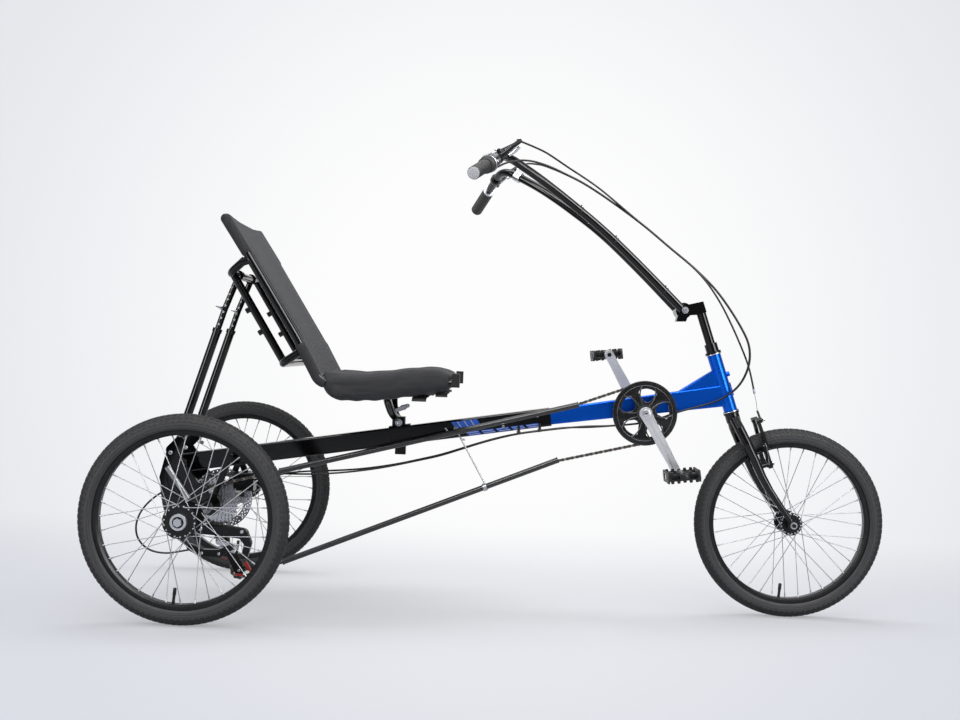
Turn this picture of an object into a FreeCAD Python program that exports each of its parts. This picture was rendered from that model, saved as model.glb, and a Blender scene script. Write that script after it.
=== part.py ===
"""Recumbent delta trike: one steered front wheel, two rear wheels, mesh seat.

Millimetres.  +X points forward, +Y to the rider's left, +Z up.  Heights in this source are
measured from the axles; save() stands the trike on the ground, midway between them.
"""
import FreeCAD, Part
import math
import os

os.makedirs("parts", exist_ok=True)

# ---------------------------------------------------------------- whole vehicle
WHEELBASE = 1516.0
TRACK = 700.0
RUN_GAP = 0.3                 # between faces of pieces that move past each other
SEAT_GAP = 0.2                # between pieces that are only laid together

FRONT_AXLE_X = WHEELBASE / 2
REAR_AXLE_X = -WHEELBASE / 2

# ---------------------------------------------------------------- wheels
WHEEL_R = 250.0
TYRE_WIDTH = 47.0
TYRE_HEIGHT = 37.0            # tread to the rim's edge
TYRE_FOOT_HALF = 19.4         # half the tyre's width at the rim's edge
TREAD_HALF = 17.0             # the tread's middle to a shoulder
TREAD_DROP = 7.3              # from the tread's crown to the shoulders
RIM_DEPTH = 13.5
RIM_BED_DEPTH = 5.8
RIM_WIDTH = 27.0
RIM_INNER_WIDTH = 18.0
RIM_FLANGE = 1.7
RIM_OUTER_R = WHEEL_R - TYRE_HEIGHT
RIM_INNER_R = RIM_OUTER_R - RIM_DEPTH
RIM_BED_R = RIM_OUTER_R - RIM_BED_DEPTH
SPOKES = 36
SPOKE_R = 1.0
SPOKE_INSIDE_OFFSET = 2.6     # spoke's middle from the flange's, on the flange's inner face
SPOKE_OUTSIDE_OFFSET = 5.2    # and on its outer face, where the spoke leans back over the flange
SPOKE_RIM_OFFSET = 1.5
SPOKE_LACING = 60.0           # degrees between a spoke's hub hole and its rim hole
SPOKE_HOLE_INSET = 4.0
SPOKE_END_GAP = 0.4           # between a spoke's end and the rim
FLANGE_THICK = 3.0
VALVE_LENGTH = 34.0
VALVE_R = 2.6

REAR_FLANGE_R = 40.0
REAR_FLANGE_SPACING = 74.0
REAR_HUB_R = 17.0
REAR_HUB_DISH = 2.0           # the hub sits this far outboard of the rim
REAR_HUB_END = 52.0           # wheel plane to the hub's outer end
REAR_CAP_R = 18.0

FRONT_FLANGE_R = 30.0
FRONT_FLANGE_SPACING = 62.0
FRONT_HUB_R = 15.0
DROPOUT_WIDTH = 100.0
FRONT_AXLE_R = 4.8
FRONT_HUB_END_R = 10.0

# ---------------------------------------------------------------- rear axle
SHAFT_R = 8.5
HOUSING_R = 17.0
HUB_ROOM = 45.0               # a rear wheel's middle to the end of its axle housing
HOUSING_END = TRACK / 2 - HUB_ROOM
SIDE_FRAME_Y = 80.0
SIDE_FRAME_THICK = 8.0
AXLE_BOSS_R = 27.0
AXLE_BOSS_LENGTH = 22.0
AXLE_NUT_R = 10.5
AXLE_NUT_LENGTH = 7.0
STUB_DEPTH = 40.0             # of each fixed shaft inside its housing
SHAFT_BEARING = 24.0          # depth of the driven shaft's end in the right housing
SIDE_HOOP = ((-110.0, 135.0), (-126.0, 66.0), (-110.0, 12.0))
SIDE_CORNER = ((-108.0, 138.0), (-87.0, 160.0))
SIDE_CORNER_WIDTH = 26.0
SIDE_HOOP_WIDTH = 18.0
SIDE_BRACE_WIDTH = 16.0
SIDE_WEB_THICK = 3.0
SIDE_STAY = ((-111.9, 89.0), (-65.5, 6.8))
SIDE_STAY_R = 7.0
SIDE_STAY_Y = 89.0            # the stay lies on the right side frame's outer face

# ---------------------------------------------------------------- frame tubes
MAIN_TUBE_HEIGHT = 48.0
MAIN_TUBE_WIDTH = 38.0
MAIN_TUBE_WALL = 3.0
MAIN_TUBE_CORNER_R = 5.0
MAIN_TUBE_END = 4.0           # thickness of the closed rear end
MAIN_TUBE_RISE = 9.3          # degrees
MAIN_TUBE_TAIL = 94.0         # behind the rear axle
MAIN_TUBE_REAR_X = REAR_AXLE_X - MAIN_TUBE_TAIL
MAIN_TUBE_FRONT_X = 116.0
MAIN_TUBE_MID_Z = 197.2       # centre line's height at MAIN_TUBE_MID_X
MAIN_TUBE_MID_X = -250.0
BOOM_OVERLAP = 110.0          # length of boom inside the main tube
BOOM_HEAD_HEIGHT = 57.0
BOOM_HEAD_WIDTH = 30.0
BOOM_WALL = 2.5
BOOM_CORNER_R = 4.0
BOOM_STRAIGHT = 10.0          # length in line with the main tube before the boom widens
BOOM_RISE = 6.0               # of the widened end's top edge above the straight part's
CROSS_TUBE_R = 11.0
REAR_CROSS_BEHIND = 78.0      # the rear axle
MID_CROSS_AHEAD = 43.0
REAR_CROSS_X = REAR_AXLE_X - REAR_CROSS_BEHIND
MID_CROSS_X = REAR_AXLE_X + MID_CROSS_AHEAD

# ---------------------------------------------------------------- steering head
HEAD_BEHIND = 163.3           # head tube's lower end behind the front axle
HEAD_BOTTOM_X = FRONT_AXLE_X - HEAD_BEHIND
HEAD_BOTTOM_Z = 290.9
HEAD_LEAN = 19.0              # degrees from the vertical
HEAD_LENGTH = 156.0
HEAD_R = 18.0
HEAD_BORE_R = 15.0
CUP_R = 21.0
CUP_HEIGHT = 8.0
STEERER_R = 13.0
GUSSET_THICK = 25.0
GUSSET_BEVEL = 4.0
# gusset's side outline: forward of the head tube's axis, up from its lower end
GUSSET_OUTLINE = ((-16.0, 117.0), (-115.5, 91.3), (-115.5, 66.0), (0.0, 56.0))
LUG_R = 6.0
LUG_SPAN = (38.0, 73.0)
LAMP_BOSS_UP = 96.0
LAMP_BOSS_R = 6.5
LAMP_BOSS_OUT = 7.0           # beyond the head tube's wall
M5_HOLE_R = 2.1
LAMP_HOLE_DEPTH = 8.0

# ---------------------------------------------------------------- fork and brake
CROWN_DEPTH = 30.0
CROWN_R = 19.0
LEG_TOP_R = 13.0
LEG_END_R = 7.5
LEG_Y = 49.0
BRAKE_ARM_THICK = 9.0
BRAKE_PIVOT_BACK = 9.0        # pivots behind the axle, square to the steering axis
BRAKE_PIVOT_INSET = 44.0      # pivots inside the rim's edge
BRAKE_PIVOT_Y = 40.0
BRAKE_ARM_LENGTH = 114.0
BRAKE_ARM_LEAN = 10.0
BRAKE_TOP_Y = 26.0
BRAKE_ARM_WIDTH = 13.0
PAD_GAP = 1.5
PAD_LENGTH = 52.0
PAD_R = 4.5

# ---------------------------------------------------------------- bars
POST_R = 12.5
POST_TOP_S = 290.0
BAR_PIVOT_BEHIND = 302.0      # the front axle
BAR_PIVOT_X = FRONT_AXLE_X - BAR_PIVOT_BEHIND
BAR_PIVOT_Z = 551.0
BAR_PIVOT_R = 13.0
BAR_PIVOT_HALF = 48.0
BAR_R = 11.0
BAR_ELBOW_R = 70.0
POST_CORNER = (-255.0, 572.0)  # x from the front axle, z
POST_ARM_DEPTH = 27.0
BAR_CLAMP_R = 21.0
BAR_CLAMP_HALF = 26.0
BAR_JAW = ((-17.0, -29.0), (9.0, -28.0), (16.0, -6.0), (-12.0, -6.0))
BAR_JAW_HALF = 14.0
# each bar's centre line from the pivot to the grip's end: x from the front axle, y, z
BAR_ROUTE = ((-308.0, 38.0, 553.0), (-412.3, 34.0, 654.5), (-523.3, 34.0, 755.5), (-635.4, 56.0, 836.9),
             (-696.3, 76.0, 877.1), (-791.0, 122.6, 929.4), (-863.0, 359.0, 842.0))
GRIP_R = 16.0
GRIP_CAP = 4.0
LEFT_GRIP_LENGTH = 124.0
LEFT_RING_END = 131.0
RIGHT_GRIP_LENGTH = 92.0
SHIFTER_R = 23.0
SHIFTER_SPAN = (93.0, 125.0)  # along the grip's line from its outer end, as are the next ones
SHIFTER_NOSE_R = 22.0
SHIFTER_NOSE_END_R = 15.0
SHIFTER_END = 185.0
LEVER_BAND_R = 15.5
LEVER_BAND_SPAN = (188.0, 204.0)
LEVER_PERCH = 71.0
LEVER_PERCH_R = 6.5
LEVER_BLADE_R = 5.0
LEVER_TIP = (-806.0, 290.0, 907.0)
LEVER_AHEAD = {-1: (0.77, 0.0, 0.64), 1: (0.85, 0.0, 0.53)}

# ---------------------------------------------------------------- cranks
BB_X = 360.0
BB_Z = 278.0
BB_SHELL_R = 20.0
BB_SHELL_HALF = 34.0
BB_SPINDLE_R = 11.0
CRANK_LENGTH = 172.5
CRANK_ANGLE = -60.0           # right arm, degrees above the forward direction
CRANK_THICK = 13.0
CRANK_Y = 71.0                # arm's middle from the middle plane
CRANK_BOSS_R = 17.0
CRANK_EYE_R = 12.5
CHAIN_Y = -48.0
RING_PITCH_R = 76.9
RING_THICK = 3.0
GUARD_R = 85.0
GUARD_THICK = 2.5
PEDAL_LENGTH = 93.0
PEDAL_WIDTH = 94.0
PEDAL_HEIGHT = 28.0
PEDAL_INNER_Y = 102.0
PEDAL_SPINDLE_R = 5.0
PEDAL_BARREL_R = 11.0
PEDAL_PLATE = 4.0

# ---------------------------------------------------------------- chain line
CHAIN_HEIGHT = 8.0
CHAIN_WIDTH = 7.0
CHAIN_TUBE_R = 7.5
CHAIN_TUBE_BORE_R = 6.0
UPPER_TUBE = ((-588.0, 90.0), (185.0, 293.0))
LOWER_TUBE = ((-571.0, -147.0), (137.0, 146.5))
COG_R = 45.0
COG_COUNT = 7
COG_SMALL_TEETH = 13
COG_STEP_TEETH = 3
COG_PITCH = 5.0
COG_THICK = 2.4
CHAIN_PITCH = 12.7
PULLEY_R = 20.0
GUIDE_PULLEY = (REAR_AXLE_X + 21.0, -87.0)
TENSION_PULLEY = (REAR_AXLE_X + 74.0, -172.0)
CAGE_HALF = 7.0
CAGE_WIDTH = 18.0
CAGE_THICK = 2.0
LINK_THICK = 16.0
# derailleur links: points from the rear axle, then width
UPPER_LINK = (((-12.0, -66.0), (82.0, -67.0), (93.0, -90.0)), 22.0)
LOWER_LINK = (((-52.0, -114.0), (-28.0, -128.0), (21.0, -87.0)), 20.0)
HANGER_WIDTH = 20.0
RING_SHARE = 0.735            # place of the ring along the lower chain tube
RING_LENGTH = 10.0
RING_WALL = 2.5
HANGER_X = -133.0
HANGER_ROD_R = 2.2
ROTOR_R = 80.0
ROTOR_Y = 55.0
ROTOR_THICK = 2.0
ROTOR_TRACK = 15.0
ROTOR_CENTRE_R = 24.0
ROTOR_CARRIER_R = 15.0
ROTOR_ARM_WIDTH = 7.0
ROTOR_ARM_SKEW = 28.0
ROTOR_ARMS = 6
CALIPER_ANGLE = 40.0
CALIPER_BODY = ((-24.0, 30.0), (-20.0, 19.0), (-22.0, 26.0))
CALIPER_SLOT = 2.5

# ---------------------------------------------------------------- seat
SEAT_HALF_WIDTH = 224.0
RAIL_INSET = 18.0
RAIL_Y = SEAT_HALF_WIDTH - RAIL_INSET
RAIL_R = 11.0
RAIL_BEND = 90.0
SEAT_CROSS_R = 9.0
BACK_THICK = 28.0
BACK_TOP = 5.0                # of the back's cover beyond the rails' ends
# side rail's centre line: x, z
RAIL_ROUTE = ((-722.0, 734.0), (-664.0, 647.0), (-530.0, 436.0), (-474.0, 336.0),
              (-405.0, 315.0), (-300.0, 320.0), (-136.0, 342.0))
SEAT_CROSSES = ((-705.0, 708.0), (-300.0, 320.0), (-148.0, 340.4))
# base cushion's outline in the side view: x, z
CUSHION_OUTLINE = ((-470.0, 349.0), (-444.0, 295.0), (-422.0, 286.0), (-312.0, 290.0),
                   (-152.0, 317.0), (-137.0, 330.0), (-137.0, 353.0), (-150.0, 364.0),
                   (-189.0, 374.0), (-251.0, 369.0), (-326.0, 357.0), (-392.0, 352.0))
PLUG_BEHIND = 7.0             # plug's rear face behind the rail's end
PLUG_AHEAD = 13.0
PLUG_WIDTH = 30.0
PLUG_HEIGHT = 34.0
PLUG_RISE = 6.0               # plug's middle above the rail's
BRACE_R = 10.0
BRACE_BEND = 34.0
# brace tubes from rail to rail by way of their elbows: x, inboard of the rail, z
UPPER_BRACE = ((-668.0, 0.0, 627.0), (-708.0, 24.0, 595.0))
LOWER_BRACE = ((-523.0, 0.0, 404.0), (-570.0, 26.0, 374.0))
LONG_BRACE_INSET = 61.0
LONG_BRACE_Y = RAIL_Y - LONG_BRACE_INSET
LONG_BRACE = ((-708.0, 595.0), (-570.0, 374.0))
BOSS_R = 7.0
BOSS_OUT = 9.0                # beyond the tube's wall
BOSS_HOLE_DEPTH = 9.0
BOSS_SPACING = 64.0
STRUT_Y = 80.0
STRUT_OUTER_R = 11.0
STRUT_INNER_R = 8.0
STRUT_BEND = 90.0
STRUT_OVERLAP = 120.0
STRUT_FOOT = (-843.0, 175.0)
STRUT_JOIN = (-757.0, 456.0)
STRUT_BEND_AT = (-741.0, 507.0)
STRUT_EYE_HALF = 9.0
STRUT_EYE_WALL = 4.0
SEAT_CLAMP_X = -278.0
SEAT_CLAMP_LENGTH = 56.0
SEAT_CLAMP_WALL = 4.0
CLAMP_LUG = ((-24.0, 10.0), 14.0, 26.0)
CLAMP_FOOT = ((-14.0, 14.0), 12.0, 26.0)
BRACKET_R = 9.0
BRACKET_BEND = 45.0
# bracket tube under the seat, from one rail to the other: x, inboard of the rail, z
BRACKET_ROUTE = ((-299.0, 8.0, 312.0), (-294.0, 78.0, 280.0), (-291.0, 172.0, 237.0))

# ---------------------------------------------------------------- cables
CABLE_R = 2.5


def vec(x, y, z):
    return FreeCAD.Vector(x, y, z)


def rod(start, end, radius):
    """Round bar between two points."""
    run = end - start
    return Part.makeCylinder(radius, run.Length, start, run)


def pipe(start, end, radius, bore):
    return rod(start, end, radius).cut(rod(start, end, bore))


def y_rod(x, z, y0, y1, radius):
    """Round bar across the vehicle."""
    return rod(vec(x, y0, z), vec(x, y1, z), radius)


def y_pipe(x, z, y0, y1, radius, bore):
    return y_rod(x, z, y0, y1, radius).cut(y_rod(x, z, y0, y1, bore))


def join(shapes):
    """Welds shapes into one solid."""
    shape = shapes[0]
    if len(shapes) > 1:
        shape = shapes[0].fuse(list(shapes[1:]))
    shape = shape.removeSplitter()
    return shape.Solids[0] if len(shape.Solids) == 1 else shape


def prism(points, y0, y1):
    """Extrudes an x, z outline from y0 to y1."""
    corners = [vec(x, y0, z) for x, z in points]
    face = Part.Face(Part.makePolygon(corners + corners[:1]))
    return face.extrude(vec(0, y1 - y0, 0))


def box(x0, x1, y0, y1, z0, z1):
    return Part.makeBox(x1 - x0, y1 - y0, z1 - z0, vec(x0, y0, z0))


def strap(points, width, y_mid, thick):
    """Flat bar with round ends through x, z points."""
    y0 = y_mid - thick / 2
    y1 = y_mid + thick / 2
    parts = [y_rod(x, z, y0, y1, width / 2) for x, z in points]
    for (xa, za), (xb, zb) in zip(points, points[1:]):
        length = math.hypot(xb - xa, zb - za)
        nx = -(zb - za) / length * width / 2
        nz = (xb - xa) / length * width / 2
        parts.append(prism(((xa + nx, za + nz), (xb + nx, zb + nz),
                            (xb - nx, zb - nz), (xa - nx, za - nz)), y0, y1))
    return join(parts)


def rounded_path(points, bend=None, last_bend=None):
    """Straight runs joined by tangent arcs, as large as the runs allow unless a bend is given."""
    edges = []
    start = points[0]
    for before, corner, after in zip(points, points[1:], points[2:]):
        into = (before - corner).normalize()
        out = (after - corner).normalize()
        half = (math.pi - into.getAngle(out)) / 2
        shorter = min((before - corner).Length, (after - corner).Length)
        radius = 0.45 * shorter / math.tan(half)
        if bend:
            radius = min(radius, bend)
        if last_bend and after is points[-1]:
            radius = min(radius, last_bend)
        back = radius * math.tan(half)
        first = corner + into * back
        last = corner + out * back
        bisector = (into + out).normalize()
        middle = corner + bisector * (radius / math.cos(half) - radius)
        edges.append(Part.LineSegment(start, first).toShape())
        edges.append(Part.Arc(first, middle, last).toShape())
        start = last
    edges.append(Part.LineSegment(start, points[-1]).toShape())
    return Part.Wire(edges)


def bent_tube(points, radius, bend=None, last_bend=None):
    """Round tube or cable along a path of runs and arcs."""
    path = rounded_path(points, bend, last_bend)
    edge = path.Edges[0]
    ring = Part.Wire(Part.Circle(points[0], edge.tangentAt(0), radius).toShape())
    return path.makePipeShell([ring], True, False)


def mirror_y(shape):
    return shape.mirror(vec(0, 0, 0), vec(0, 1, 0))


def save(name, *shapes):
    """Writes one node; each solid in it stays separate."""
    solids = [solid for shape in shapes for solid in shape.Solids]
    shape = solids[0] if len(solids) == 1 else Part.makeCompound(solids)
    shape = shape.translated(vec(0, 0, WHEEL_R))
    print("%-24s solids %3d  valid %s  litres %.4f" % (name, len(solids), shape.isValid(), shape.Volume / 1e6))
    shape.exportStep("parts/%s.step" % name)


# ---------------------------------------------------------------- steering frame of reference
LEAN = math.radians(HEAD_LEAN)
HEAD_UP = vec(-math.sin(LEAN), 0, math.cos(LEAN))
HEAD_FORWARD = vec(math.cos(LEAN), 0, math.sin(LEAN))
HEAD_BOTTOM = vec(HEAD_BOTTOM_X, 0, HEAD_BOTTOM_Z)


def on_head(forward, y, up):
    """A point from the head tube's lower end: forward of its axis, sideways and up along it."""
    return HEAD_BOTTOM + HEAD_FORWARD * forward + vec(0, y, 0) + HEAD_UP * up


def from_front(point):
    """A point whose x is measured from the front axle."""
    x, y, z = point
    return vec(FRONT_AXLE_X + x, y, z)


def axle_on_head():
    """The front axle's place as forward and up distances on the head."""
    offset = vec(FRONT_AXLE_X, 0, 0) - HEAD_BOTTOM
    return offset.dot(HEAD_FORWARD), offset.dot(HEAD_UP)


# ---------------------------------------------------------------- wheels
def revolve_about_axle(outline, x, y_mid):
    """Turns a y, radius outline about an axle at x; the outline is a list of edges' points."""
    edges = []
    for item in outline:
        pts = [vec(x, y_mid + y, r) for y, r in item]
        if len(pts) == 2:
            edges.append(Part.LineSegment(*pts).toShape())
        else:
            edges.append(Part.Arc(*pts).toShape())
    face = Part.Face(Part.Wire(edges))
    return face.revolve(vec(x, 0, 0), vec(0, 1, 0), 360)


def tyre(x, y_mid):
    """Tyre with round sides up to its shoulders and a round tread."""
    half = TYRE_WIDTH / 2
    seat = RIM_WIDTH / 2 - RIM_FLANGE - SEAT_GAP
    base = RIM_BED_R + SEAT_GAP
    lip = RIM_OUTER_R + SEAT_GAP
    widest = WHEEL_R - half
    shoulder = WHEEL_R - TREAD_DROP
    foot = TYRE_FOOT_HALF
    outline = (((-seat, base), (seat, base)), ((seat, base), (seat, lip)), ((seat, lip), (foot, lip)),
               ((foot, lip), (half, widest), (TREAD_HALF, shoulder)),
               ((TREAD_HALF, shoulder), (0, WHEEL_R), (-TREAD_HALF, shoulder)),
               ((-TREAD_HALF, shoulder), (-half, widest), (-foot, lip)),
               ((-foot, lip), (-seat, lip)), ((-seat, lip), (-seat, base)))
    return revolve_about_axle(outline, x, y_mid)


def closed(points):
    return tuple(zip(points, points[1:] + points[:1]))


def rim(x, y_mid):
    half = RIM_WIDTH / 2
    inner = RIM_INNER_WIDTH / 2
    bed = half - RIM_FLANGE
    shoulder = RIM_INNER_R + half - inner
    points = ((-inner, RIM_INNER_R), (inner, RIM_INNER_R), (half, shoulder), (half, RIM_OUTER_R),
              (bed, RIM_OUTER_R), (bed, RIM_BED_R), (-bed, RIM_BED_R), (-bed, RIM_OUTER_R),
              (-half, RIM_OUTER_R), (-half, shoulder))
    return revolve_about_axle(closed(points), x, y_mid)


def valve(x, y_mid):
    """Valve stem near the bottom of the rim, between two spokes and pointing at the hub."""
    turn = math.radians(180.0 / SPOKES)
    to_hub = vec(math.sin(turn), 0, math.cos(turn))
    foot = vec(x, y_mid, 0) - to_hub * (RIM_INNER_R - SEAT_GAP)
    return rod(foot, foot + to_hub * VALVE_LENGTH, VALVE_R)


def hub(x, y_mid, flange_r, spacing, body_r, bore, inner_end, outer_end, cap_r):
    """Barrel with two flanges; the ends are measured from y_mid along +Y."""
    half = spacing / 2
    parts = [y_rod(x, 0, y_mid - inner_end, y_mid + outer_end, cap_r),
             y_rod(x, 0, y_mid - half, y_mid + half, body_r)]
    for side in (-half, half):
        parts.append(y_rod(x, 0, y_mid + side - FLANGE_THICK / 2,
                           y_mid + side + FLANGE_THICK / 2, flange_r))
    solid = join(parts)
    return solid.cut(y_rod(x, 0, y_mid - inner_end - 1, y_mid + outer_end + 1, bore))


def spokes(x, rim_y, hub_y, flange_r, spacing):
    """Crossed spokes, alternately in front of and behind each flange, none touching another."""
    result = []
    hole_r = flange_r - SPOKE_HOLE_INSET
    rim_r = RIM_INNER_R - SPOKE_END_GAP
    for index in range(SPOKES):
        side = 1 if index % 2 else -1
        face = 1 if (index // 2) % 2 else -1
        rim_turn = math.radians(360.0 * index / SPOKES)
        hub_turn = rim_turn + math.radians(SPOKE_LACING) * face
        offset = SPOKE_OUTSIDE_OFFSET if face == side else SPOKE_INSIDE_OFFSET
        hub_end = vec(x + hole_r * math.sin(hub_turn), hub_y + side * spacing / 2 + face * offset,
                      hole_r * math.cos(hub_turn))
        rim_end = vec(x + rim_r * math.sin(rim_turn), rim_y + face * SPOKE_RIM_OFFSET,
                      rim_r * math.cos(rim_turn))
        result.append(rod(hub_end, rim_end, SPOKE_R))
    return result


def build_wheel(name, x, y_mid, outboard):
    """Tyre, rim with hub, and spokes; outboard is +1 or -1 on a rear wheel and 0 in front."""
    save(name + "_tyre", tyre(x, y_mid))
    if outboard:
        hub_y = y_mid + outboard * REAR_HUB_DISH
        bore = SHAFT_R if outboard > 0 else SHAFT_R + RUN_GAP
        inner = REAR_FLANGE_SPACING / 2 + 2
        outer = REAR_HUB_END - REAR_HUB_DISH
        ends = (inner, outer) if outboard > 0 else (outer, inner)
        barrel = hub(x, hub_y, REAR_FLANGE_R, REAR_FLANGE_SPACING, REAR_HUB_R, bore, ends[0], ends[1], REAR_CAP_R)
        wires = spokes(x, y_mid, hub_y, REAR_FLANGE_R, REAR_FLANGE_SPACING)
    else:
        half = DROPOUT_WIDTH / 2 - RUN_GAP
        barrel = hub(x, 0, FRONT_FLANGE_R, FRONT_FLANGE_SPACING, FRONT_HUB_R, FRONT_AXLE_R + RUN_GAP,
                     half, half, FRONT_HUB_END_R)
        wires = spokes(x, 0, 0, FRONT_FLANGE_R, FRONT_FLANGE_SPACING)
    save(name + "_rim_and_hub", rim(x, y_mid), barrel, valve(x, y_mid))
    save(name + "_spokes", *wires)


# ---------------------------------------------------------------- frame
TUBE_RISE = math.tan(math.radians(MAIN_TUBE_RISE))


def tube_z(x):
    """Height of the main tube's centre line."""
    return MAIN_TUBE_MID_Z + (x - MAIN_TUBE_MID_X) * TUBE_RISE


TUBE_ALONG = vec(math.cos(math.radians(MAIN_TUBE_RISE)), 0, math.sin(math.radians(MAIN_TUBE_RISE)))
TUBE_UP = vec(-TUBE_ALONG.z, 0, TUBE_ALONG.x)


def tube_section(x, height, width, corner, drop=0.0):
    """Rounded rectangle square to the main tube's line."""
    middle = vec(x, 0, tube_z(x)) + TUBE_UP * -drop
    high = height / 2
    wide = width / 2
    bulge = corner * (1 - math.sqrt(0.5))
    arcs = []
    for index, (up, side) in enumerate(((1, 1), (1, -1), (-1, -1), (-1, 1))):
        ends = [(high - corner, wide), (high, wide - corner)]
        if index % 2:
            ends.reverse()
        points = [ends[0], (high - bulge, wide - bulge), ends[1]]
        arcs.append([middle + TUBE_UP * (up * h) + vec(0, side * w, 0) for h, w in points])
    edges = []
    for arc, after in zip(arcs, arcs[1:] + arcs[:1]):
        edges.append(Part.Arc(*arc).toShape())
        edges.append(Part.LineSegment(arc[2], after[0]).toShape())
    return Part.Wire(edges)


def tube_run(x0, x1, height, width, corner):
    return Part.makeLoft([tube_section(x0, height, width, corner),
                          tube_section(x1, height, width, corner)], True, True)


def main_tube():
    inside_h = MAIN_TUBE_HEIGHT - 2 * MAIN_TUBE_WALL
    inside_w = MAIN_TUBE_WIDTH - 2 * MAIN_TUBE_WALL
    shell = tube_run(MAIN_TUBE_REAR_X, MAIN_TUBE_FRONT_X, MAIN_TUBE_HEIGHT, MAIN_TUBE_WIDTH, MAIN_TUBE_CORNER_R)
    hollow = tube_run(MAIN_TUBE_REAR_X + MAIN_TUBE_END, MAIN_TUBE_FRONT_X + MAIN_TUBE_END, inside_h, inside_w,
                      MAIN_TUBE_CORNER_R - MAIN_TUBE_WALL)
    shell = shell.cut(hollow)
    for x in (REAR_CROSS_X, MID_CROSS_X):
        shell = shell.cut(y_rod(x, tube_z(x), -MAIN_TUBE_WIDTH, MAIN_TUBE_WIDTH, CROSS_TUBE_R))
    return shell


def boom_body(trim):
    """The boom's outside, or its inside with the wall's thickness as trim."""
    height = MAIN_TUBE_HEIGHT - 2 * MAIN_TUBE_WALL - 2 * SEAT_GAP
    width = MAIN_TUBE_WIDTH - 2 * MAIN_TUBE_WALL - 2 * SEAT_GAP
    drop = (BOOM_HEAD_HEIGHT - height) / 2 - BOOM_RISE
    x_in = MAIN_TUBE_FRONT_X - BOOM_OVERLAP
    x_flare = MAIN_TUBE_FRONT_X + BOOM_STRAIGHT
    x_head = HEAD_BOTTOM_X - HEAD_R * 2 / 3
    corner = BOOM_CORNER_R - trim
    start = tube_section(x_in - trim, height - 2 * trim, width - 2 * trim, corner)
    middle = tube_section(x_flare, height - 2 * trim, width - 2 * trim, corner)
    end = tube_section(x_head, BOOM_HEAD_HEIGHT - 2 * trim, BOOM_HEAD_WIDTH - 2 * trim, corner, drop)
    return join([Part.makeLoft([start, middle], True, True), Part.makeLoft([middle, end], True, True)])


def head_room(radius):
    """Space around the head tube's axis."""
    return rod(on_head(0, 0, -HEAD_LENGTH / 4), on_head(0, 0, HEAD_LENGTH * 5 / 4), radius)


def front_boom():
    """The boom, and its outside as a solid for cutting what is welded on."""
    envelope = boom_body(0.0)
    reach = BOOM_HEAD_WIDTH
    outer = envelope.cut(head_room(HEAD_R)).cut(y_rod(BB_X, BB_Z, -reach, reach, BB_SHELL_R))
    inner = boom_body(BOOM_WALL).cut(head_room(HEAD_R + BOOM_WALL))
    inner = inner.cut(y_rod(BB_X, BB_Z, -reach, reach, BB_SHELL_R + BOOM_WALL))
    boom = outer.cut(inner)
    return max(boom.Solids, key=lambda solid: solid.Volume), envelope


def head_gusset(envelope):
    """Filled corner between the boom's top and the head tube, with its upper edges bevelled."""
    wires = []
    half = GUSSET_THICK / 2
    for y, lower in ((-half, GUSSET_BEVEL), (GUSSET_BEVEL - half, 0), (half - GUSSET_BEVEL, 0), (half, GUSSET_BEVEL)):
        (f0, u0), (f1, u1), (f2, u2), (f3, u3) = GUSSET_OUTLINE
        corners = [on_head(f0, y, u0 - lower), on_head(f1, y, u1 - lower), on_head(f2, y, u2), on_head(f3, y, u3)]
        wires.append(Part.makePolygon(corners + corners[:1]))
    block = Part.makeLoft(wires, True, True).cut(head_room(HEAD_R)).cut(envelope)
    return max(block.Solids, key=lambda solid: solid.Volume)


def head_tube():
    """Steering bearing tube with a short lug and a threaded lamp boss in front."""
    root = HEAD_R - 3
    lug = rod(on_head(root, 0, LUG_SPAN[0]), on_head(root, 0, LUG_SPAN[1]), LUG_R)
    boss_end = HEAD_R + LAMP_BOSS_OUT
    boss = rod(on_head(root, 0, LAMP_BOSS_UP), on_head(boss_end, 0, LAMP_BOSS_UP), LAMP_BOSS_R)
    bore = rod(on_head(0, 0, 0), on_head(0, 0, HEAD_LENGTH), HEAD_BORE_R)
    tube = rod(on_head(0, 0, 0), on_head(0, 0, HEAD_LENGTH), HEAD_R)
    hole = rod(on_head(boss_end - LAMP_HOLE_DEPTH, 0, LAMP_BOSS_UP), on_head(boss_end + 1, 0, LAMP_BOSS_UP), M5_HOLE_R)
    return join([tube, lug, boss]).cut(bore).cut(hole)


def build_frame():
    save("main_tube", main_tube())
    boom, envelope = front_boom()
    save("front_boom", boom)
    save("head_tube", head_tube())
    save("head_gusset", head_gusset(envelope))
    shell = y_pipe(BB_X, BB_Z, -BB_SHELL_HALF, BB_SHELL_HALF, BB_SHELL_R, BB_SPINDLE_R + RUN_GAP)
    save("bottom_bracket_shell", shell)
    cups = []
    for start in (-CUP_HEIGHT, HEAD_LENGTH):
        cups.append(pipe(on_head(0, 0, start), on_head(0, 0, start + CUP_HEIGHT), CUP_R, STEERER_R + RUN_GAP))
    save("headset_cups", *cups)


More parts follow.
